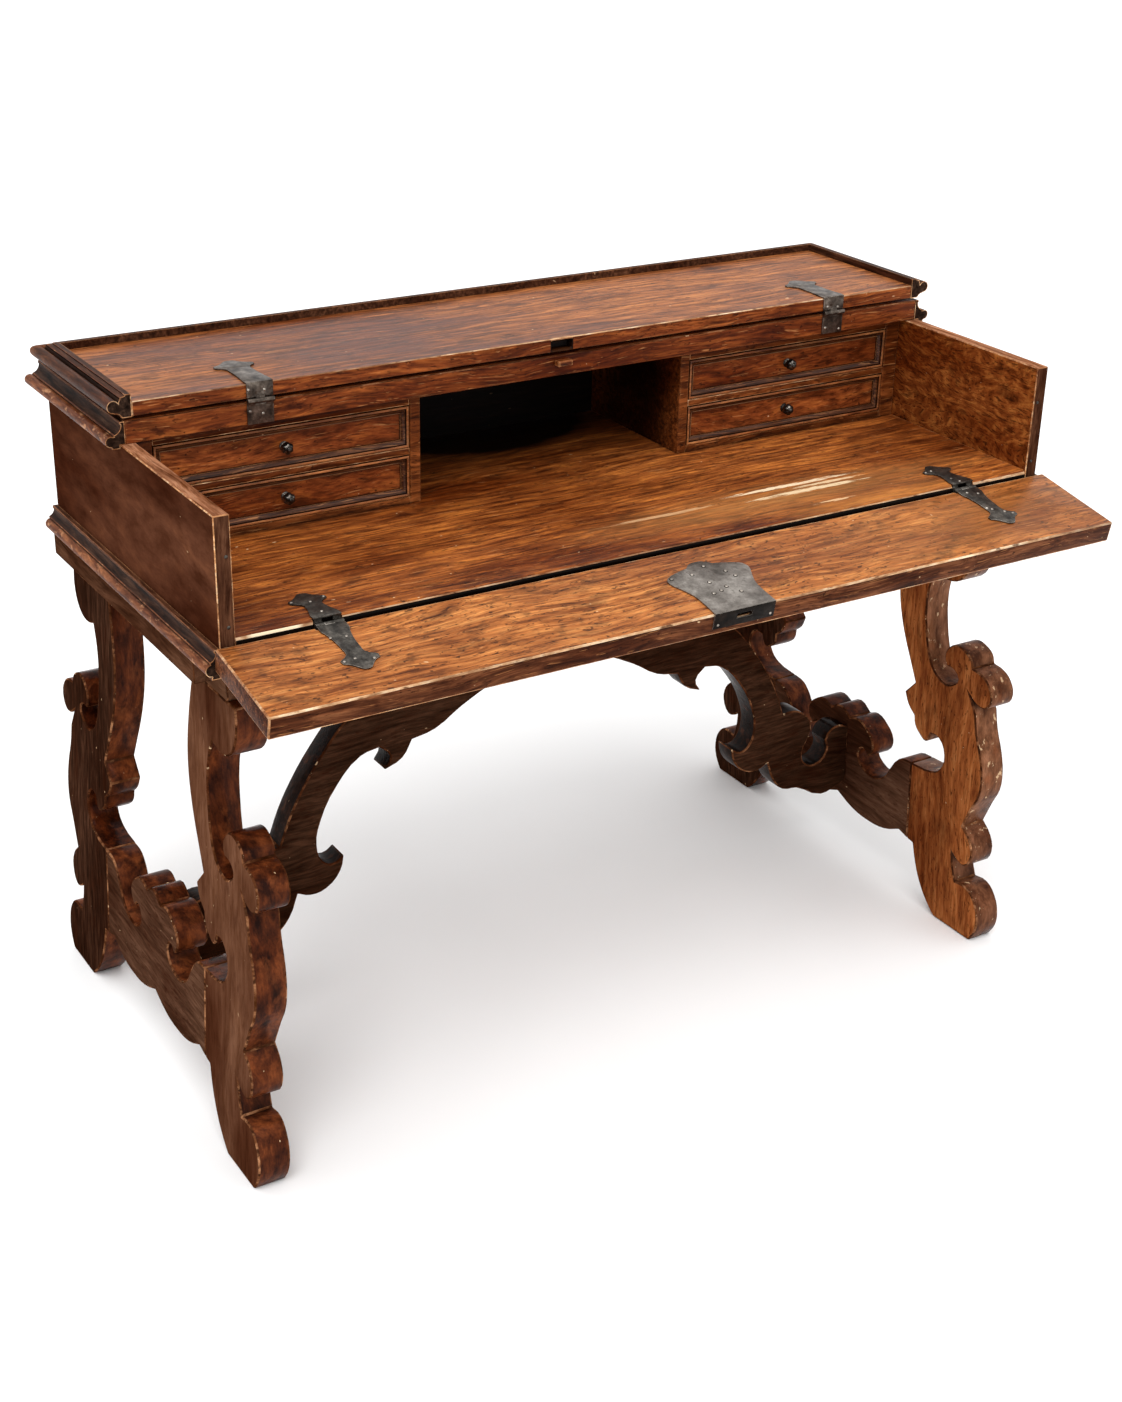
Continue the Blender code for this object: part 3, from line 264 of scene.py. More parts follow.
finishes = {
    "writingBed": makeWalnut("Walnut_writing_bed", walnut | {
        "shift": (.3, .21, .20),
        "scuffsAndShadePatches": [
            {"at": (.25, -.185, .793), "size": (.46, .075, .05), "tear": (60, 5), "from": .06, "to": .6,
             "share": .55, "tint": "#bf8449"},
            # rubbed paler wood and a painted sheen towards the front right of the bed
            {"at": (.37, -.252, .793), "size": (.26, .034, .05), "tear": (40, 6), "from": .10, "to": .5,
             "share": .6, "tint": "#c98038"},
            {"at": (.05, -.167, .793), "size": (.22, .010, .05), "tear": (34, 2), "from": .27, "to": .36,
             "share": .55, "tint": "#d9b083"},
            {"at": (.278, -.150, .793), "size": (.22, .010, .05), "tear": (40, 2), "from": .24, "to": .31,
             "share": .85, "tint": "#eed7b4"},
            {"at": (.298, -.178, .793), "size": (.21, .012, .05), "tear": (34, 2.2), "from": .25, "to": .32,
             "share": .8, "tint": "#ead0a8"},
            {"at": (.34, -.164, .793), "size": (.14, .009, .05), "tear": (26, 2), "from": .27, "to": .34,
             "share": .75, "tint": "#e8cba2"},
            {"at": (.298, -.231, .793), "size": (.085, .008, .05), "tear": (22, 2.4), "from": .30, "to": .37,
             "share": .75, "tint": "#dfb98c"},
            # painted shadow: a near-black patch over the back of the bed, inside the pigeonhole under the top
            {"at": (0, .27, .793), "size": (.29, .135, .2), "tear": (200, 200), "from": .05, "to": .20,
             "share": .97, "tint": "#060302"},
        ]}),
    "fallBoard": makeWalnut("Walnut_fall_board", walnut | {
        "shift": (-.4, .33, .17), "dark": "#713a15", "mid": "#aa6530", "light": "#d08a4a", "gloss": .14,
        "marks": [smudges, stains | {"share": .45}, paleHairs, dashes, flecks | {"from": .62, "to": .67}, specks],
        # rubbed paler wood and a painted sheen towards the front right of the fall
        "scuffsAndShadePatches": [{"at": (.46, -.34, .773), "size": (.34, .13, .2), "tear": (60, 6), "from": .1, "to": .5,
                    "share": .25, "tint": "#d08a46"}]}),
    "lidBoard": makeWalnut("Walnut_lid_board", walnut | {
        "shift": (.9, -.12, .31), "streak": (130, 7), "dark": "#5c3014", "mid": "#94562b", "light": "#c27b42",
        "rough": .42, "gloss": .16, "wax": .03, "waxRough": .32}),
    "topBoard": makeWalnut("Walnut_board_edge", walnut | {
        "shift": (.5, .14, .41), "dark": "#451d0d", "mid": "#783a19", "light": "#a35a29", "gloss": .06}),
    "fallEdge": makeWalnut("Walnut_fall_edge", walnut | {
        "shift": (.1, .44, .71), "dark": "#35190c", "mid": "#5f351f", "light": "#875536", "gloss": .03}),
    "backBoard": makeWalnut("Walnut_case_back", darkWalnut | {"shift": (.6, .3, .8), "streak": (110, 9)}),
    "sideBoard": makeWalnut("Walnut_case_side", darkWalnut | {
        "grain": "y", "shift": (.2, .4, .2), "sway": .05, "streak": (80, 30), "hair": .04,
        "dark": "#442517", "mid": "#563323", "light": "#663e2a",
        "marks": [smudges | {"size": (60, 40), "share": .4}, dashes | {"share": .12},
                  specks | {"from": .875, "share": .4}]}),
    "sideEdge": makeWalnut("Walnut_case_side_edge", darkWalnut | {
        "grain": "y", "shift": (.5, .1, .6), "streak": (90, 7), "dark": "#64391f", "mid": "#966447", "light": "#bd8a69",
        "marks": [smudges | {"share": .35}, dashes | {"share": .4}, specks], "wear": .3}),
    "sideFront": makeWalnut("Walnut_case_side_front", darkWalnut | {
        "grain": "z", "shift": (.2, .7, .3), "streak": (60, 7), "dark": "#331c12", "mid": "#4e3122", "light": "#6b4733",
        "marks": [smudges | {"share": .4}, dashes | {"share": .4}, specks], "wear": .3}),
    "burlBoard": makeWalnut("Walnut_burl_side", walnut | {
        "grain": "y", "shift": (.7, -.3, .6), "sway": .16, "streak": (17, 12), "hair": .08,
        "dark": "#6a3414", "mid": "#9c5627", "light": "#cb8240", "gloss": 0,
        "marks": [smudges | {"size": (30, 18)}, stains | {"size": (16, 9), "from": .58, "to": .68, "share": .5},
                  flecks | {"size": (16, 2.2), "from": .56, "to": .63, "share": .7}, specks]}),
    "moulding": makeWalnut("Walnut_moulding", darkWalnut | {
        "grain": "y", "dark": "#2b170d", "mid": "#4a2c1c", "light": "#6b4530", "bare": "#b88055", "gloss": .04,
        "wearMm": 3, "wearFrom": -.16, "wear": .7, "waxShadeMm": 6, "waxShade": .9}),
    "bead": makeWalnut("Walnut_rubbed_bead", darkWalnut | {
        "grain": "y", "shift": (.3, .6, .2), "streak": (40, 8), "dark": "#4a2515", "mid": "#74442a", "light": "#9d643f",
        "marks": [stains | {"share": .45}, rubs | {"size": (16, 9), "share": .75, "tint": "#c08a62"},
                  dashes | {"share": .4}, specks], "wear": .3, "waxShadeMm": 4, "waxShade": .9, "gloss": .06}),
    "lidBead": makeWalnut("Walnut_lid_bead", darkWalnut | {
        "grain": "y", "shift": (.3, .6, .2), "streak": (70, 7), "dark": "#351c11", "mid": "#57341f", "light": "#7d5136",
        "marks": [stains | {"share": .45}, rubs | {"share": .3}, dashes | {"share": .4}, specks],
        "wear": .3, "waxShadeMm": 4, "waxShade": .9, "gloss": .05}),
    # the coves darker: waxed wood and painted shade
    "cove": makeWalnut("Walnut_cove_wax_and_shade", darkWalnut | {
        "grain": "y", "shift": (.1, .3, .8), "dark": "#1a0f09", "mid": "#38241a", "light": "#523a2c",
        "marks": [dashes | {"share": .4}, specks | {"share": .3}], "wear": .2, "gloss": .03}),
    # painted shade: the moulding quirks near black
    "quirk": makeWalnut("Walnut_quirk_painted_shade", darkWalnut | {
        "grain": "y", "dark": "#070402", "mid": "#110905", "light": "#20130b", "bare": "#2c1c12",
        "marks": [specks | {"share": .05}]}),
    "mouldingEnd": makeWalnut("Walnut_moulding_end_grain", darkWalnut | {
        "grain": "y", "shift": (.4, .1, .5), "streak": (8, 8), "dark": "#17100c", "mid": "#2f221b", "light": "#49372c",
        "bare": "#8d6344", "wearMm": 3, "wear": .5, "marks": [stains | {"share": .4}, specks | {"share": .4}]}),
    "leg": makeWalnut("Walnut_trestle_leg", darkWalnut | {
        "grain": "z", "shift": (.1, .25, .3), "streak": (90, 13), "hair": .06,
        "dark": "#5b3926", "mid": "#6b4733", "light": "#79543f",
        "wear": .3, "wearMm": 7, "waxShadeMm": 14, "marks": [smudges | {"share": .4}, dashes | {"share": .3}, specks]}),
    # painted shade: the rear legs a darker copy of the leg walnut
    "shadedRearLeg": makeWalnut("Walnut_rear_leg_painted_shade", darkWalnut | {
        "grain": "z", "shift": (.2, .55, .1), "dark": "#22130b", "mid": "#341f15", "light": "#4a3022", "wear": .3,
        "wearMm": 7, "waxShadeMm": 14}),
    # painted light: the right front leg a lighter, warmer copy of the leg walnut
    "litLeg": makeWalnut("Walnut_leg_painted_light", darkWalnut | {
        "grain": "z", "shift": (.4, .15, .7), "streak": (80, 10),
        "dark": "#6a3519", "mid": "#91522a", "light": "#a96a3c", "wear": .35, "wearMm": 7, "waxShadeMm": 14,
        "marks": [smudges | {"share": .5}, dashes | {"share": .6}, flecks, specks]}),
    "legEdge": makeWalnut("Walnut_trestle_edge", sawnEdge | {
        "shift": (.3, .1, .6), "dark": "#27110a", "mid": "#502714", "light": "#783f20",
        "marks": [rubs | {"share": .4}, stains | {"share": .5}, specks]}),
    # painted light: the right front leg's edges a lighter copy, with real chips
    "litLegEdge": makeWalnut("Walnut_leg_edge_painted_light", sawnEdge | {
        "shift": (.3, .8, .6), "dark": "#4a2917", "mid": "#744a31", "light": "#946448",
        "marks": [rubs | {"share": .4}, stains | {"share": .4}, chips | {"share": .6}, specks]}),
    "stretcher": makeWalnut("Walnut_trestle_stretcher", darkWalnut | {
        "grain": "y", "shift": (.6, .1, .3), "streak": (80, 10),
        "dark": "#3f281b", "mid": "#523728", "light": "#644635", "wear": .35, "wearMm": 7, "waxShadeMm": 14}),
    "brace": makeWalnut("Walnut_arched_brace", darkWalnut | {
        "shift": (.2, .6, .1), "dark": "#26160d", "mid": "#392418", "light": "#4c3122", "bare": "#6b4529",
        "wear": .3, "wearMm": 7}),
    "fascia": makeWalnut("Walnut_bearer", darkWalnut | {
        "grain": "y", "shift": (.7, .2, .9), "streak": (80, 12),
        "dark": "#3f271a", "mid": "#573a29", "light": "#6c4b38",
        "marks": [smudges | {"share": .3}, dashes | {"share": .25}, specks | {"share": .3}], "wear": .35}),
    "braceEdge": makeWalnut("Walnut_brace_edge", darkWalnut | {
        "shift": (.5, .2, .4), "dark": "#100906", "mid": "#20120b", "light": "#331d12", "bare": "#6b4529",
        "marks": [rubs | {"share": .2}, specks], "rough": .30, "gloss": .05, "uneven": .25, "wear": .3}),
    "drawerField": makeWalnut("Walnut_drawer_field", walnut | {
        "shift": (.35, .7, .22), "streak": (40, 8), "dark": "#5a2a10", "mid": "#8a4520", "light": "#b0622d",
        "gloss": .06, "waxShadeMm": 16, "waxShade": .95, "wear": 0}),
    "drawerBead": makeWalnut("Walnut_drawer_bead", walnut | {
        "shift": (.55, .3, .12), "streak": (50, 9), "dark": "#5c2d10", "mid": "#99562a", "light": "#cb854c",
        "bare": "#d39a63", "wearMm": 3, "wearFrom": -.25, "wear": .6, "waxShadeMm": 4, "waxShade": .8, "gloss": .25}),
    # painted shade: near-black wood for gaps, quirks and pockets that lie in shade
    "nearBlackShade": makeWalnut("Walnut_near_black_painted_shade", walnut | {
        "shift": (.25, .3, .62), "dark": "#0c0502", "mid": "#1c0c05", "light": "#321809", "bare": "#4a2812",
        "marks": [specks | {"share": .1}], "gloss": .05}),
    "drawerSlope": makeWalnut("Walnut_drawer_slope", walnut | {
        "shift": (.65, .2, .32), "streak": (60, 3), "dark": "#241007", "mid": "#4a2712", "light": "#7a4c2c",
        "bare": "#c68a55", "wearMm": 3, "wear": .4, "waxShadeMm": 6, "gloss": .25, "rough": .30}),
    "drawerRail": makeWalnut("Walnut_drawer_rail", walnut | {
        "shift": (.15, .5, .42), "dark": "#3a190a", "mid": "#6c3716", "light": "#935127", "gloss": .06,
        # painted shadow: a near-black patch inside the pigeonhole, over the rails and partitions at the back
        "scuffsAndShadePatches": [{"at": (0, .17, .87), "size": (.45, .16, .3), "tear": (200, 200), "from": .05, "to": .22,
                    "share": .9, "tint": "#0b0402"}]}),
    # painted shade: near-black wood for the back panel inside the pigeonhole and the bed's front face in its joint with
    # the fall
    "paintedShadeBoard": makeWalnut("Walnut_painted_shade_inside", walnut | {
        "shift": (.8, .2, .5), "dark": "#040201", "mid": "#0b0503", "light": "#140a05", "bare": "#1d110a",
        "marks": [specks | {"share": .05}], "gloss": .08}),
    "paleBox": makeWalnut("Poplar_drawer_box", walnut | {
        "shift": (.2, .9, .2), "dark": "#7a5a3a", "mid": "#a98258", "light": "#c7a377", "cloud": "#d3c6b8",
        "marks": [smudges | {"share": .3, "tint": "#5a4028"}, dashes | {"share": .4, "tint": "#5a4028"}],
        "bare": "#d5b990", "rough": .6, "waxShade": .5}),
    "peg": makeWalnut("Walnut_peg", walnut | {"mid": "#8a4a22", "light": "#c07a42", "bare": "#e0a069"}),
    # rims: rubbed through the polish, chipped and waxed over again
    "warmRim": makeWalnut("Walnut_rubbed_rim", walnut | {
        "streak": (30, 14), "dark": "#84502c", "mid": "#c48c5c", "light": "#edc99e",
        "marks": [breaks | {"from": .57, "to": .66, "share": .7}, chips | {"share": .6}],
        "wear": 0, "waxShade": .3}),
    "creamRim": makeWalnut("Walnut_bare_rim", walnut | {
        "shift": (.4, .2, .7), "streak": (36, 14), "dark": "#8a5c38", "mid": "#c39a72", "light": "#ead2b0",
        "marks": [breaks | {"from": .57, "to": .66}], "wear": 0, "waxShade": .2,
        "scuffsAndShadePatches": [{"at": (-.578, -.266, .79), "size": (.042, .02, .02), "tear": (60, 8), "from": .05, "to": .15,
                    "share": .95, "tint": "#efdcba"}]}),
    # the dark rim is rubbed wood on the trestles and painted shade on the fixed top's chamfers
    "darkRim": makeWalnut("Walnut_dark_rim_rubbed_and_shaded", darkWalnut | {
        "streak": (36, 22), "dark": "#40220f", "mid": "#623b24", "light": "#a1714f",
        "marks": [breaks | {"tint": "#2c170d", "from": .48, "to": .58}, chips | {"from": .66, "to": .71, "share": .7}],
        "wear": 0, "waxShade": .3, "rough": .4}),
}
print("wood finishes made:", len(finishes))


# Forged iron: beaten flat, blackened and rubbed. Dull grey with brown patches; the rims brighter, partly rubbed iron
# and partly painted highlight.
def makeIron(name, finish):
    material = bpy.data.materials.new(name)
    material.use_nodes = True
    tree = material.node_tree
    tree.nodes.clear()
    place = addNode(tree, "ShaderNodeTexCoord")
    blows = addNode(tree, "ShaderNodeTexNoise", {"Scale": 1000 / finish["blowMm"], "Detail": 3, "Roughness": .6},
                    {"Vector": place.outputs["Object"]})
    patches = addNode(tree, "ShaderNodeTexNoise", {"Scale": 1000 / finish["patchMm"], "Detail": 5, "Roughness": .7},
                      {"Vector": place.outputs["Object"]})
    tint = addNode(tree, "ShaderNodeValToRGB", links={"Fac": patches.outputs["Fac"]},
                   stops=[(.34, finish["dark"]), (.67, finish["light"]), (.5, finish["mid"])])
    rust = addNode(tree, "ShaderNodeMapRange", {"From Min": .58, "From Max": .70, "To Max": finish["rust"]},
                   {"Value": blows.outputs["Fac"]})
    rusty = addNode(tree, "ShaderNodeMix", {7: linear("#2f1d13")},
                    {0: rust.outputs["Result"], 6: tint.outputs["Color"]}, data_type="RGBA")
    rough = addNode(tree, "ShaderNodeMapRange",
                    {"From Min": .3, "From Max": .7, "To Min": finish["rough"] + .1, "To Max": finish["rough"] - .08},
                    {"Value": patches.outputs["Fac"]})
    dents = addNode(tree, "ShaderNodeBump", {"Strength": finish["dents"], "Distance": .001},
                    {"Height": blows.outputs["Fac"]})
    shader = addNode(tree, "ShaderNodeBsdfPrincipled", {"Metallic": finish["metallic"]},
                     {"Base Color": rusty.outputs[2], "Roughness": rough.outputs["Result"],
                      "Normal": dents.outputs["Normal"]})
    addNode(tree, "ShaderNodeOutputMaterial", links={"Surface": shader.outputs["BSDF"]})
    return material


iron = {"blowMm": 9, "patchMm": 16, "dark": "#262320", "mid": "#48443f", "light": "#706a62",
        "rust": .4, "rough": .42, "dents": .35, "metallic": .85}
finishes["strap"] = makeIron("Iron_forged_strap", iron)
finishes["foldStrap"] = makeIron("Iron_rubbed_strap", iron | {
    "dark": "#2f2823", "mid": "#544a42", "light": "#80756b", "rust": .6, "rough": .36})
# the rims: rubbed iron, with painted highlight along the strap outlines
finishes["ironRim"] = makeIron("Iron_rim_rubbed_and_highlit", iron | {
    "dark": "#5d5750", "mid": "#a89f95", "light": "#ddd5ca", "rust": .2, "rough": .32})
finishes["lockPlate"] = makeIron("Iron_lock_plate", iron | {
    "dark": "#4f4943", "mid": "#807972", "light": "#b0a9a1", "blowMm": 5, "patchMm": 48, "rust": .5, "rough": .36,
    "dents": .6})
# painted shade: near-black iron for the lock plate's flange
finishes["darkIronShade"] = makeIron("Iron_lock_painted_shade", iron | {
    "dark": "#0d0907", "mid": "#16100c", "light": "#241b15", "rough": .62})
finishes["knob"] = makeIron("Iron_cast_knob", iron | {
    "dark": "#1d1b19", "mid": "#46423e", "light": "#8a837b", "rust": .1, "rough": .18, "dents": .15, "metallic": .95})
finishes["nail"] = makeIron("Iron_nail_head", iron | {
    "dark": "#6d655e", "mid": "#a0978d", "light": "#cdc4b9", "rust": .1, "rough": .28, "dents": .1})
print("iron finishes made")

tilt = math.radians(10.5)  # the fall front droops by this
fallIn = Vector((0, math.cos(tilt), math.sin(tilt)))  # along the fall, towards its hinge
fallUp = Vector((0, -math.sin(tilt), math.cos(tilt)))
fallHinge = [joint for joint in frame["joints"] if joint["name"] == "fall_hinge"][0]
fallAxis = Vector(fallHinge["pos_m"])


def onFall(x, along, lift):  # a place on the fall: across, out from the hinge, above its face
    return fallAxis + Vector((x, 0, 0)) - fallIn * along + fallUp * lift


cleaning = {"weld": .00002, "flat": .3}  # metres and degrees, to join up the frame's triangles


# Copies of the frame's solids with their rims eased, as hands and feet have worn them
def ease(node, wear):
    source = frame["nodes"][node]
    bpy.ops.object.select_all(action="DESELECT")
    piece = bpy.data.objects.new(node + ".eased", source.data.copy())
    bpy.context.scene.collection.objects.link(piece)
    piece.data.materials.clear()
    piece.data.materials.append(finishes[wear["finish"]])
    piece.data.materials.append(finishes[wear["rim"]])
    bpy.context.view_layer.objects.active = piece
    piece.select_set(True)
    bpy.ops.mesh.customdata_custom_splitnormals_clear()
    bpy.ops.object.mode_set(mode="EDIT")
    bpy.ops.mesh.select_all(action="SELECT")
    bpy.ops.mesh.remove_doubles(threshold=cleaning["weld"])
    bpy.ops.mesh.dissolve_limited(angle_limit=math.radians(cleaning["flat"]))
    bpy.ops.mesh.select_all(action="DESELECT")
    bpy.ops.object.mode_set(mode="OBJECT")
    for face in piece.data.polygons:
        face.material_index = 0
    if "arris" in wear:  # one long arris worn rounder than the rest
        points = piece.data.vertices
        for line in piece.data.edges:
            line.select = all(wear["arris"](points[i].co) for i in line.vertices)
        bpy.ops.object.mode_set(mode="EDIT")
        bpy.ops.mesh.select_mode(type="EDGE")
        bpy.ops.mesh.bevel(offset=wear["arrisMm"] / 1000, segments=6, material=1)
        bpy.ops.object.mode_set(mode="OBJECT")
    if wear["mm"]:
        rounded = piece.modifiers.new("worn", "BEVEL")
        rounded.width = wear["mm"] / 1000
        rounded.segments = wear["segments"]
        rounded.limit_method = "ANGLE"
        rounded.angle_limit = math.radians(wear["angle"])
        rounded.use_clamp_overlap = wear["clamp"]
        rounded.material = 1
        bpy.ops.object.modifier_apply(modifier="worn")
    bpy.ops.object.shade_smooth_by_angle(angle=math.radians(wear["smooth"]))
    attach(piece, source["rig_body"])
    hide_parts(node)
    return piece


def chamfered(face):  # a chamfer that the frame cut along a square board
    return max(abs(n) for n in face.normal) < .9


def paintFaces(piece, finish, test):  # another finish on the faces that pass the test
    piece.data.materials.append(finishes[finish])
    for face in piece.data.polygons:
        if test(face):
            face.material_index = len(piece.data.materials) - 1


def sawnAcross(face):  # the sawn edge of a board that faces left and right
    return face.material_index == 0 and abs(face.normal.x) < .8


sawn = {"mm": 2.4, "segments": 3, "angle": 55, "clamp": False, "smooth": 28, "rim": "darkRim", "slot": "dark_walnut"}
planed = sawn | {"mm": 2.2, "segments": 2, "smooth": 30, "rim": "warmRim", "slot": "warm_walnut"}
beaten = {"mm": 1.2, "segments": 2, "angle": 50, "clamp": True, "smooth": 40, "rim": "ironRim", "finish": "strap",
          "slot": "iron"}
legFinishes = {"left_front": "leg", "right_front": "litLeg"}  # the right front leg a lighter copy as painted light; the rear ones stay dark, a darker copy as painted shade
for side in ("left", "right"):
    for leg in ("front", "rear"):
        legFinish = legFinishes.get(f"{side}_{leg}", "shadedRearLeg")
        paintFaces(ease(f"{side}_{leg}_leg", sawn | {"finish": legFinish}),
                   "litLegEdge" if legFinish == "litLeg" else "legEdge", sawnAcross)
    paintFaces(ease(f"{side}_stretcher", sawn | {"finish": "stretcher"}), "legEdge", sawnAcross)
    paintFaces(ease(f"{side}_brace", sawn | {"finish": "brace"}), "braceEdge",
               lambda face: face.material_index == 0 and abs(face.normal.y) < .8)
    ease(f"{side}_bearer", sawn | {"finish": "fascia", "mm": 1.5})
    sideFinish = "sideBoard" if side == "left" else "burlBoard"
    flank = ease(f"{side}_side", planed | {"finish": sideFinish, "slot": "dark_walnut", "mm": 2.6})
    paintFaces(flank, "sideEdge", lambda face: face.material_index == 0 and face.normal.z > .9)
    paintFaces(flank, "sideFront", lambda face: abs(face.normal.y) > .9)
    paintFaces(flank, "warmRim", chamfered)
    for leaf, strap in (("top", "foldStrap"), ("lid", "foldStrap"), ("base", "strap"), ("fall", "strap")):
        ease(f"{side}_{leaf}_leaf", beaten | {"finish": strap})
print("trestles, sides and straps eased")


# Mouldings: run along the edges of the case, with beads, coves and quirks as crisp as in the photo
def bow(middle, radius, first, last, finish, steps):  # part of a circle, from first to last in degrees
    turns = [math.radians(first + (last - first) * i / steps) for i in range(steps + 1)]
    return [(middle[0] + radius * math.cos(t), middle[1] - radius * math.sin(t), finish) for t in turns]


mouldings = {  # out and down from the top corner at the back, millimetres, and the finish up to there
    "lid": [(7.5, 0, "moulding"), (8.1, .6, "bead"), (8.1, 1.6, "quirk"), (11.2, 2.6, "moulding"),
            (14.2, 3.1, "moulding"), (14.8, 3.7, "bead"), (14.8, 5.6, "quirk"), (16.6, 8.2, "cove")]
    + bow((24.1, 14.4), 8.4, 150, -92, "lidBead", 10)
    + [(22.8, 23.4, "quirk"), (18.5, 24.2, "cove"), (15.5, 26.2, "cove"), (14.2, 28.6, "cove"),
       (13.0, 29.0, "moulding"), (13.0, 30.0, "moulding"), (0, 30.0, "moulding")],
    "top": [(5.4, 0, "moulding"), (6.0, .6, "bead"), (6.0, 3.2, "moulding"), (4.8, 3.6, "quirk")]
    + bow((17.5, 3.8), -12.7, 0, 72, "cove", 6)
    + [(14.9, 16.6, "bead"), (15.4, 17.1, "moulding"), (14.8, 18.0, "quirk")]
    + bow((19.4, 24.4), 7.2, 118, -92, "bead", 10)
    + [(18.2, 32.4, "quirk"), (17.6, 33.0, "bead"), (17.6, 34.5, "moulding"), (7.3, 34.5, "moulding"),
       (7.3, 30.0, "moulding"), (0, 30.0, "moulding")],
    "base": [(6.2, 0, "moulding"), (6.8, .6, "bead"), (6.8, 3.8, "moulding"), (5.4, 4.2, "quirk")]
    + bow((16.2, 4.4), -10.8, 0, 70, "cove", 6)
    + [(13.0, 15.4, "bead"), (13.5, 15.9, "moulding"), (12.8, 17.2, "quirk")]
    + bow((11.2, 25.6), 8.0, 80, -92, "bead", 10)
    + [(10.6, 34.0, "quirk"), (11.2, 34.6, "bead"), (11.2, 38.0, "moulding"), (0, 38.0, "moulding")],
}


planing = {"weld": .00003, "endLine": .0009, "smooth": 38}  # metres, and degrees


def runMoulding(node, shape, outward, along, mitres=(False, False)):
    low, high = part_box(node)
    middle = (low + high) / 2
    half = (high - low) / 2
    outward, along = Vector(outward), Vector(along)
    reach, length = 2 * abs(half.dot(outward)), abs(half.dot(along))
    first = -length + reach * mitres[0]
    last = length - reach * mitres[1]
    back = middle - outward * reach / 2
    tall = mouldings[shape][-1][1] / 1000  # height of the face against the board
    back.z = high.z - tall / 2
    bpy.ops.object.select_all(action="DESELECT")
    bpy.ops.mesh.primitive_plane_add(size=1, location=back + along * (first + last) / 2,
                                     rotation=(math.pi / 2, 0, math.atan2(along.y, along.x)))
    piece = bpy.context.object
    piece.name = node + ".run"
    piece.scale = (last - first, tall, 1)
    bpy.ops.object.transform_apply(location=True, rotation=True, scale=True)
    bpy.ops.object.mode_set(mode="EDIT")
    bpy.ops.mesh.select_mode(type="EDGE")
    bpy.ops.mesh.select_all(action="DESELECT")
    bpy.ops.object.mode_set(mode="OBJECT")
    points = piece.data.vertices
    for line in piece.data.edges:
        line.select = all(points[i].co.z > back.z for i in line.vertices)
    bpy.ops.object.mode_set(mode="EDIT")
    at = (0, 0)
    for out, down, _ in mouldings[shape]:
        step = outward * (out - at[0]) / 1000 - Vector((0, 0, down - at[1])) / 1000
        bpy.ops.mesh.extrude_region_move(TRANSFORM_OT_translate={"value": step})
        at = (out, down)
    bpy.ops.mesh.select_all(action="SELECT")
    bpy.ops.mesh.remove_doubles(threshold=planing["weld"])
    bpy.ops.mesh.fill_holes(sides=0)
    bpy.ops.mesh.normals_make_consistent(inside=False)
    bpy.ops.mesh.select_mode(type="FACE")
    bpy.ops.mesh.select_all(action="DESELECT")
    bpy.ops.object.mode_set(mode="OBJECT")
    for face in piece.data.polygons:
        face.select = len(face.vertices) > 4
    bpy.ops.object.mode_set(mode="EDIT")
    bpy.ops.mesh.inset(thickness=planing["endLine"])  # a rubbed line round the sawn ends
    bpy.ops.object.mode_set(mode="OBJECT")
    for point in piece.data.vertices:  # mitre the ends that meet another run
        out = (point.co - back).dot(outward)
        if (point.co - middle).dot(along) < 0:
            point.co -= along * out * mitres[0]
        else:
            point.co += along * out * mitres[1]
    bpy.ops.object.shade_smooth_by_angle(angle=math.radians(planing["smooth"]))
    corners = [(0, 0, "moulding")] + mouldings[shape]
    midway = [((a[0] + b[0]) / 2, (a[1] + b[1]) / 2, b[2]) for a, b in zip(corners, corners[1:])]
    for finish in ("moulding", "bead", "lidBead", "cove", "quirk", "mouldingEnd", "warmRim"):
        piece.data.materials.append(finishes[finish])
    order = [m.name for m in piece.data.materials]
    for face in piece.data.polygons:
        spot = (1000 * (face.center - back).dot(outward), 1000 * (high.z - face.center.z))
        nearest = min(midway, key=lambda m: (m[0] - spot[0]) ** 2 + (m[1] - spot[1]) ** 2)
        face.material_index = order.index(finishes[nearest[2]].name)
        if abs(face.normal.dot(along)) > .95:
            cap = "warmRim" if len(face.vertices) == 4 else "mouldingEnd"
            face.material_index = order.index(finishes[cap].name)
    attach(piece, frame["nodes"][node]["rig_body"])
    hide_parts(node)


for side, way in (("left", -1), ("right", 1)):
    runMoulding(f"{side}_base_moulding", "base", (way, 0, 0), (0, 1, 0))
    runMoulding(f"{side}_top_moulding", "top", (way, 0, 0), (0, 1, 0))
    runMoulding(f"lid_{side}_moulding", "lid", (way, 0, 0), (0, 1, 0), (False, True))
runMoulding("lid_back_moulding", "lid", (0, 1, 0), (1, 0, 0), (True, True))
print("mouldings run")

# The writing bed: its front arris is worn round and pale below; its front face in the joint with the fall is painted
# near black as painted shade
stileGap = .0003  # under the drawers' stiles
arrisNear = .0006
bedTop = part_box("left_stile")[0].z - stileGap
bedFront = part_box("base_board")[0].y
bed = ease("base_board", planed | {
    "finish": "writingBed", "rim": "creamRim", "mm": 0, "arrisMm": 7.5,
    "arris": lambda p: abs(p.y - bedFront) < arrisNear and abs(p.z - bedTop) < arrisNear})
paintFaces(bed, "writingBed", lambda face: face.material_index == 1 and face.normal.z > .56)
# painted shade: the bed's front face below its top, near black in the joint
paintFaces(bed, "paintedShadeBoard", lambda face: face.normal.y < -.95 and face.center.z < bedTop)
paintFaces(bed, "drawerRail", lambda face: face.center.z > bedTop + .001)
paintFaces(bed, "backBoard", lambda face: face.normal.y > .9)
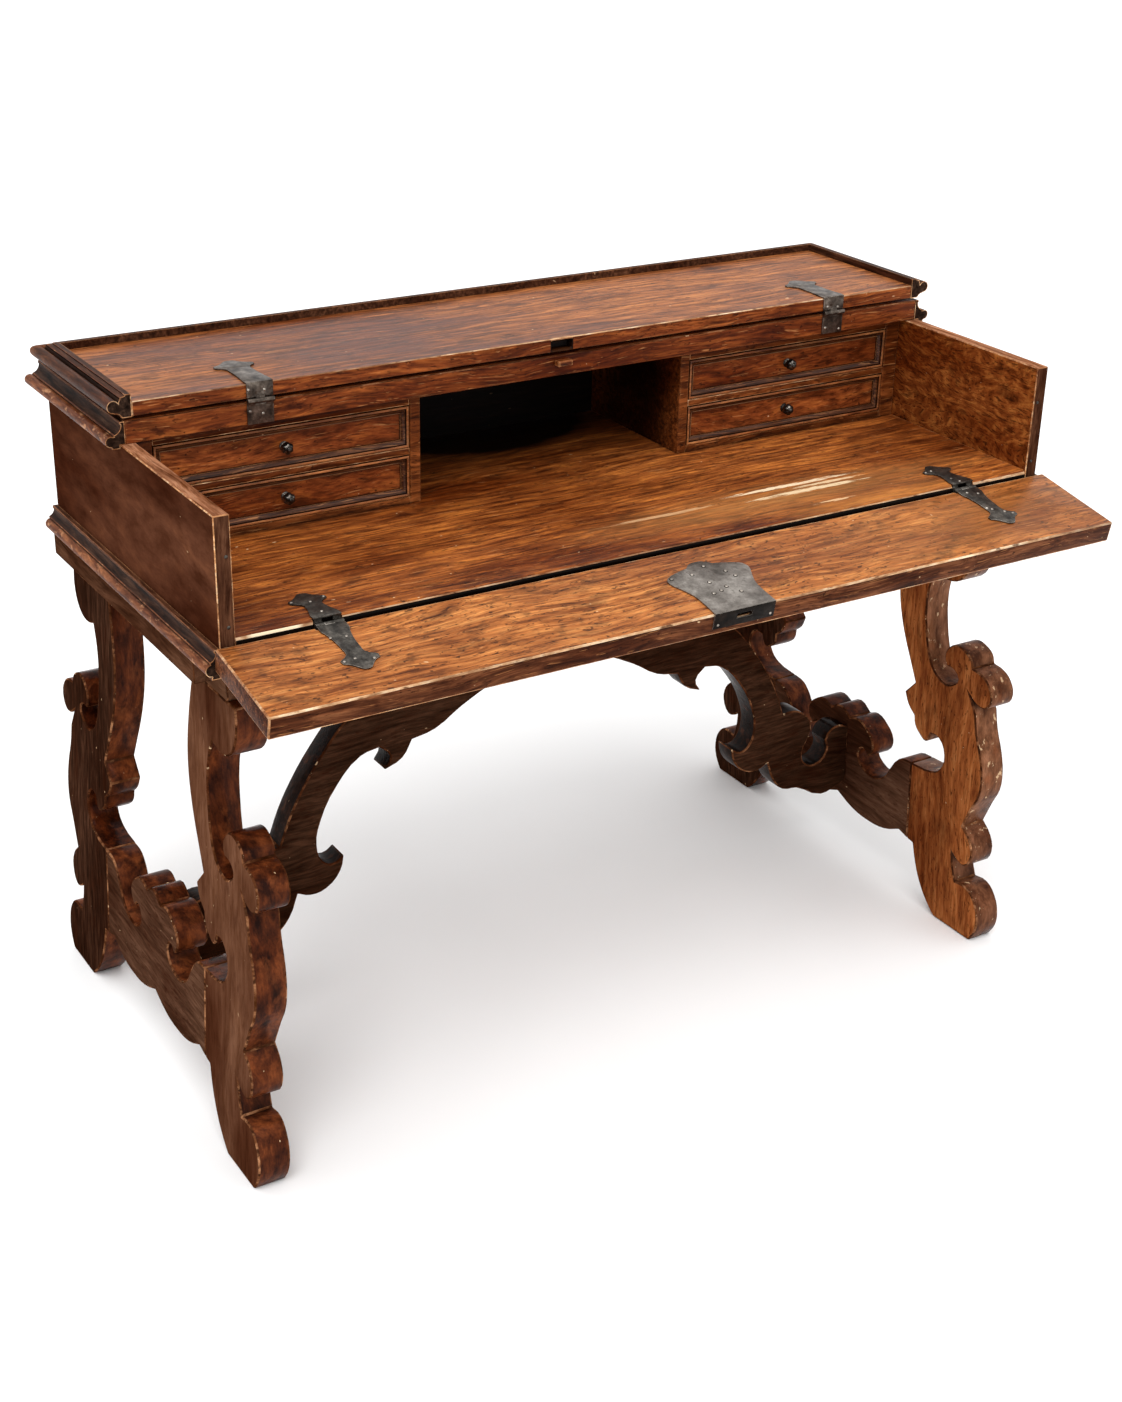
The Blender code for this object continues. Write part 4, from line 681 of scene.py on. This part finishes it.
# painted shade: the back panel near black on the inside; its outer face is plain walnut
rear = ease("back_panel", planed | {"finish": "paintedShadeBoard", "mm": 0, "slot": "dark_walnut"})
paintFaces(rear, "backBoard", lambda face: face.normal.y > .9)
fall = ease("fall_front", planed | {"finish": "fallBoard"})
edgeDepth = .006  # how far back the fall's worn front arris may lie
fallReach = -(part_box("fall_front")[0].y - fallAxis.y) - edgeDepth
lockPocket = {"half": .05, "largest": .00015}  # half its width and its largest face
pegNotch = {"half": .03, "front": .0256, "back": .045, "top": 1.0}  # where the lid's notch lies
paintFaces(fall, "fallEdge", lambda face: face.material_index == 0 and (
    -face.normal.dot(fallIn) > .97 or abs(face.normal.x) > .97))
paintFaces(fall, "creamRim", lambda face: face.material_index == 1 and face.normal.dot(fallUp) > .15
           and fallAxis.y - face.center.y > fallReach)
# painted shade: the lock pocket's small inner faces near black
paintFaces(fall, "nearBlackShade", lambda face: abs(face.center.x) < lockPocket["half"]
           and face.area < lockPocket["largest"] and face.normal.dot(fallUp) < .9)
lid = ease("lid_board", planed | {"finish": "lidBoard"})
paintFaces(lid, "topBoard", lambda face: face.normal.y < -.97 and face.material_index == 0)
paintFaces(lid, "warmRim", chamfered)
paintFaces(lid, "creamRim", lambda face: chamfered(face) and face.normal.z > .15 and face.normal.y < -.15)
# painted shade: the faces of the peg notch near black
paintFaces(lid, "nearBlackShade", lambda face: abs(face.center.x) < pegNotch["half"] and face.center.y < pegNotch["back"]
           and face.center.z < pegNotch["top"] and (face.center.y > pegNotch["front"] or face.material_index == 1))
top = ease("fixed_top", planed | {"finish": "topBoard"})
# painted shade: the top's upward chamfers dark, in the joint under the lid's edge
paintFaces(top, "darkRim", lambda face: chamfered(face) and face.normal.z > .15)
plate = ease("lock_plate", beaten | {"finish": "lockPlate", "mm": .9})
# painted shade: the flange's front faces near black
paintFaces(plate, "darkIronShade", lambda face: -face.normal.dot(fallIn) > .9 and face.material_index == 0)
print("boards and lock plate eased")

# Drawer fronts: a bead, a quirk, a small bead and a long slope run round a sunk field
frontMoulding = {
    "smooth": 50,  # degrees
    "setBack": .0020,  # the bead starts behind the front plane and swells to it
    # inset and depth of each step, in millimetres, from the rim to the field
    "steps": [(.5, -1.2), (.7, -.6), (1.1, -.2), (1.0, .3), (.6, .9), (.3, 1.2), (1.2, .2), (1.3, .8), (1.3, 1.0),
              (1.3, 1.2), (1.1, 1.2), (.4, -.3), (.3, 0), (.4, 1.5)],
    # finish of each ring, in from the rim in millimetres; the near-black rings are painted shade in the gap round the
    # front and in the quirks
    "rings": [("nearBlackShade", .8), ("drawerBead", 3.8), ("nearBlackShade", 5.5), ("drawerSlope", 10.3),
              ("drawerBead", 11.2), ("nearBlackShade", 11.5), ("drawerField", 99)],
}


def makeDrawerFront(node):
    low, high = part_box(node)
    low = low + Vector((0, frontMoulding["setBack"], 0))
    bpy.ops.object.select_all(action="DESELECT")
    bpy.ops.mesh.primitive_cube_add(size=1, location=(low + high) / 2)
    piece = bpy.context.object
    piece.name = node + ".moulded"
    piece.scale = high - low
    bpy.ops.object.transform_apply(location=True, rotation=True, scale=True)
    bpy.ops.object.mode_set(mode="EDIT")
    bpy.ops.mesh.select_all(action="DESELECT")
    bpy.ops.object.mode_set(mode="OBJECT")
    for face in piece.data.polygons:
        face.select = face.normal.y < -.9
    bpy.ops.object.mode_set(mode="EDIT")
    bpy.ops.mesh.select_mode(type="FACE")
    for inset, depth in frontMoulding["steps"]:
        bpy.ops.mesh.inset(thickness=inset / 1000)
        bpy.ops.transform.translate(value=(0, depth / 1000, 0))
    bpy.ops.object.mode_set(mode="OBJECT")
    bpy.ops.object.shade_smooth_by_angle(angle=math.radians(frontMoulding["smooth"]))
    inward = {face.index: 1000 * min(face.center.x - low.x, high.x - face.center.x, face.center.z - low.z,
                                     high.z - face.center.z) for face in piece.data.polygons}
    reached = -1
    for finish, reach in frontMoulding["rings"]:
        paintFaces(piece, finish, lambda face: reached < inward[face.index] <= reach)
        reached = reach
    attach(piece, frame["nodes"][node]["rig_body"])
    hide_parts(node)


# Knobs: a rose, a waisted stem and a head of six lobes round a boss
knobShape = {
    "sides": 24, "rose": .0070, "roseThick": .0012,
    # forward step in metres and radius as a share of the last ring
    "rings": [(.0004, .85), (.0006, .65), (.0026, 1.0), (.0016, 1.86), (.0026, 1.28), (.0036, 1.04), (.0034, .84),
              (.0024, .66), (-.0005, .80), (.0022, .92), (.0010, .55)],
    "crown": .0008, "smooth": 60,
    "lobes": 6, "lobeFrom": .0050, "lobeBehind": .006, "lobeCut": .80,
}


def makeKnob(node):
    low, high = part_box(node)
    middle = (low + high) / 2
    bpy.ops.object.select_all(action="DESELECT")
    bpy.ops.mesh.primitive_cylinder_add(
        vertices=knobShape["sides"], radius=knobShape["rose"], depth=knobShape["roseThick"],
        location=(middle.x, high.y - knobShape["roseThick"] / 2, middle.z), rotation=(math.pi / 2, 0, 0))
    piece = bpy.context.object
    piece.name = node + ".lobed"
    bpy.ops.object.transform_apply(location=True, rotation=True, scale=True)
    bpy.ops.object.mode_set(mode="EDIT")
    bpy.ops.mesh.select_all(action="DESELECT")
    bpy.ops.object.mode_set(mode="OBJECT")
    for face in piece.data.polygons:
        face.select = face.normal.y < -.9
    bpy.ops.object.mode_set(mode="EDIT")
    bpy.ops.mesh.select_mode(type="FACE")
    for forward, share in knobShape["rings"]:
        bpy.ops.mesh.extrude_region_move(TRANSFORM_OT_translate={"value": (0, -forward, 0)})
        bpy.ops.transform.resize(value=(share, 1, share))
    bpy.ops.mesh.inset(thickness=knobShape["crown"])
    bpy.ops.object.mode_set(mode="OBJECT")
    for point in piece.data.vertices:  # pull the valleys between the lobes
        out = Vector((point.co.x - middle.x, point.co.z - middle.z))
        if out.length > knobShape["lobeFrom"] and point.co.y < high.y - knobShape["lobeBehind"]:
            turn = (math.cos(knobShape["lobes"] * math.atan2(out.y, out.x)) + 1) / 2
            pull = 1 - (1 - knobShape["lobeCut"]) * turn
            point.co.x = middle.x + out.x * pull
            point.co.z = middle.z + out.y * pull
    smooth = piece.modifiers.new("smooth", "SUBSURF")
    smooth.levels = 1
    smooth.render_levels = 1
    bpy.ops.object.modifier_apply(modifier="smooth")
    bpy.ops.object.shade_smooth_by_angle(angle=math.radians(knobShape["smooth"]))
    piece.data.materials.append(finishes["knob"])
    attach(piece, frame["nodes"][node]["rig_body"])
    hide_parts(node)


for side in ("left", "right"):
    for rail in ("stile", "shelf", "top_rail"):
        ease(f"{side}_{rail}", planed | {"finish": "drawerRail", "mm": 1.1, "slot": "dark_walnut"})
    for tier in ("lower", "upper"):
        makeDrawerFront(f"{side}_{tier}_front")
        makeKnob(f"{side}_{tier}_knob")
print("drawer fronts and knobs made")

# Nails and rivets: one domed head, copied to each place
nailHead = {"radius": .0022, "rise": .55, "segments": 12, "rings": 8, "cut": -.0004, "smooth": 60}
bpy.ops.object.select_all(action="DESELECT")
bpy.ops.mesh.primitive_uv_sphere_add(segments=nailHead["segments"], ring_count=nailHead["rings"],
                                     radius=nailHead["radius"])
dome = bpy.context.object
dome.scale.z = nailHead["rise"]
bpy.ops.object.transform_apply(location=True, rotation=True, scale=True)
bpy.ops.object.mode_set(mode="EDIT")
bpy.ops.mesh.select_all(action="SELECT")
bpy.ops.mesh.bisect(plane_co=(0, 0, nailHead["cut"]), plane_no=(0, 0, 1), clear_inner=True, use_fill=True)
bpy.ops.object.mode_set(mode="OBJECT")
bpy.ops.object.shade_smooth_by_angle(angle=math.radians(nailHead["smooth"]))
dome.data.materials.append(finishes["nail"])


def driveNails(name, body, facing, places, size=1, finish="nail"):
    heads = []
    for place in places:
        head = bpy.data.objects.new(name, dome.data.copy())
        bpy.context.scene.collection.objects.link(head)
        head.data.materials[0] = finishes[finish]
        turn = Vector(facing).to_track_quat("Z", "Y").to_matrix().to_4x4()
        head.data.transform(Matrix.Translation(place) @ turn @ Matrix.Scale(size, 4))
        heads.append(head)
    bpy.ops.object.select_all(action="DESELECT")
    for head in heads:
        head.select_set(True)
    bpy.context.view_layer.objects.active = heads[0]
    if len(heads) > 1:
        bpy.ops.object.join()
    piece = bpy.context.object
    piece.name = name
    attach(piece, body)


fallNails = {  # across and out from the hinge, metres
    "left": [(-.5222, .0322), (-.5023, .0351), (-.5142, .0822), (-.4921, .0895), (-.529, .084)],
    "right": [(.5159, .0204), (.5008, .0136), (.5046, .0647), (.499, .0595), (.5183, .0761), (.527, .084)],
}
bedNails = {  # across and back from the bed's front edge
    "left": [(-.530, .058), (-.508, .0501), (-.486, .058), (-.5087, .0163)],
    "right": [(.4981, .0599), (.5061, .0064), (.4865, .058), (.5021, .0204)],
}
foldNails = {  # across and height on the front of the lid's hinge, on its upper and its lower leaf
    "left": ([(-.475, .9954), (-.453, .9934)], [(-.474, .9665), (-.4558, .9617)]),
    "right": ([(.4675, .990), (.4868, .988)], [(.4922, .9535), (.466, .958)]),
}
nailLifts = {"fall": .0023, "rivet": .0021, "rust": .0008}  # metres above the fall's face
nailSizes = {"rivet": 1.25, "flange": .9, "rust": 1.9, "side": 1.1}  # as shares of the common head
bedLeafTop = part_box("left_base_leaf")[1].z
foldFace = .0231  # the hinge's flat front, inside its knuckle
for side in ("left", "right"):
    driveNails(f"{side}_fall_nails", "fall", fallUp,
               [onFall(a, b, nailLifts["fall"]) for a, b in fallNails[side]])
    driveNails(f"{side}_bed_nails", "desk_frame", (0, 0, 1),
               [(a, bedFront + b, bedLeafTop) for a, b in bedNails[side]])
    upper, lower = foldNails[side]
    driveNails(f"{side}_lid_nails", "lid", (0, -1, 0), [(a, foldFace, b) for a, b in upper])
    driveNails(f"{side}_top_nails", "desk_frame", (0, -1, 0), [(a, foldFace, b) for a, b in lower])
plateRivets = [(.0115, .0512), (-.0155, .064), (-.0479, .064), (.0333, .0712), (.0395, .0855), (-.0039, .0881),
               (.0119, .1044), (-.0002, .1104), (-.0139, .113), (.0245, .1208)]
driveNails("plate_rivets", "fall", fallUp,
           [onFall(a, b, nailLifts["rivet"]) for a, b in plateRivets], nailSizes["rivet"])
flangeNails = [(-.034, -.4201, .7417), (.049, -.4201, .7417)]  # at the lower corners of the flange
driveNails("flange_nails", "fall", -fallIn, flangeNails, nailSizes["flange"])
# dark rings under the rivets: rust and painted shadow round each head
driveNails("plate_rust_and_shadow_rings", "fall", fallUp,
           [onFall(a, b, nailLifts["rust"]) for a, b in plateRivets], nailSizes["rust"], "darkIronShade")
sideNails = [(.636, .896), (.637, .8065)]  # across and height on the front edge of each side
for side, way in (("left", -1), ("right", 1)):
    driveNails(f"{side}_side_nails", "desk_frame", (0, -1, 0),
               [(way * a, bedFront, b) for a, b in sideNails], nailSizes["side"], "strap")
bpy.data.objects.remove(dome)
print("nails driven")

# Boards that keep the frame's own shape
boards = {"alignment_peg": "peg", "lock_bolt": "darkIronShade"}
for side in ("left", "right"):
    boards[f"{side}_partition"] = "drawerRail"
    for tier in ("lower", "upper"):
        boards |= {f"{side}_{tier}_box": "paleBox", f"{side}_{tier}_bottom": "paleBox"}
for node, finish in boards.items():
    mesh = frame["nodes"][node].data
    mesh.materials.clear()
    mesh.materials.append(finishes[finish])
print("boards finished:", len(boards))
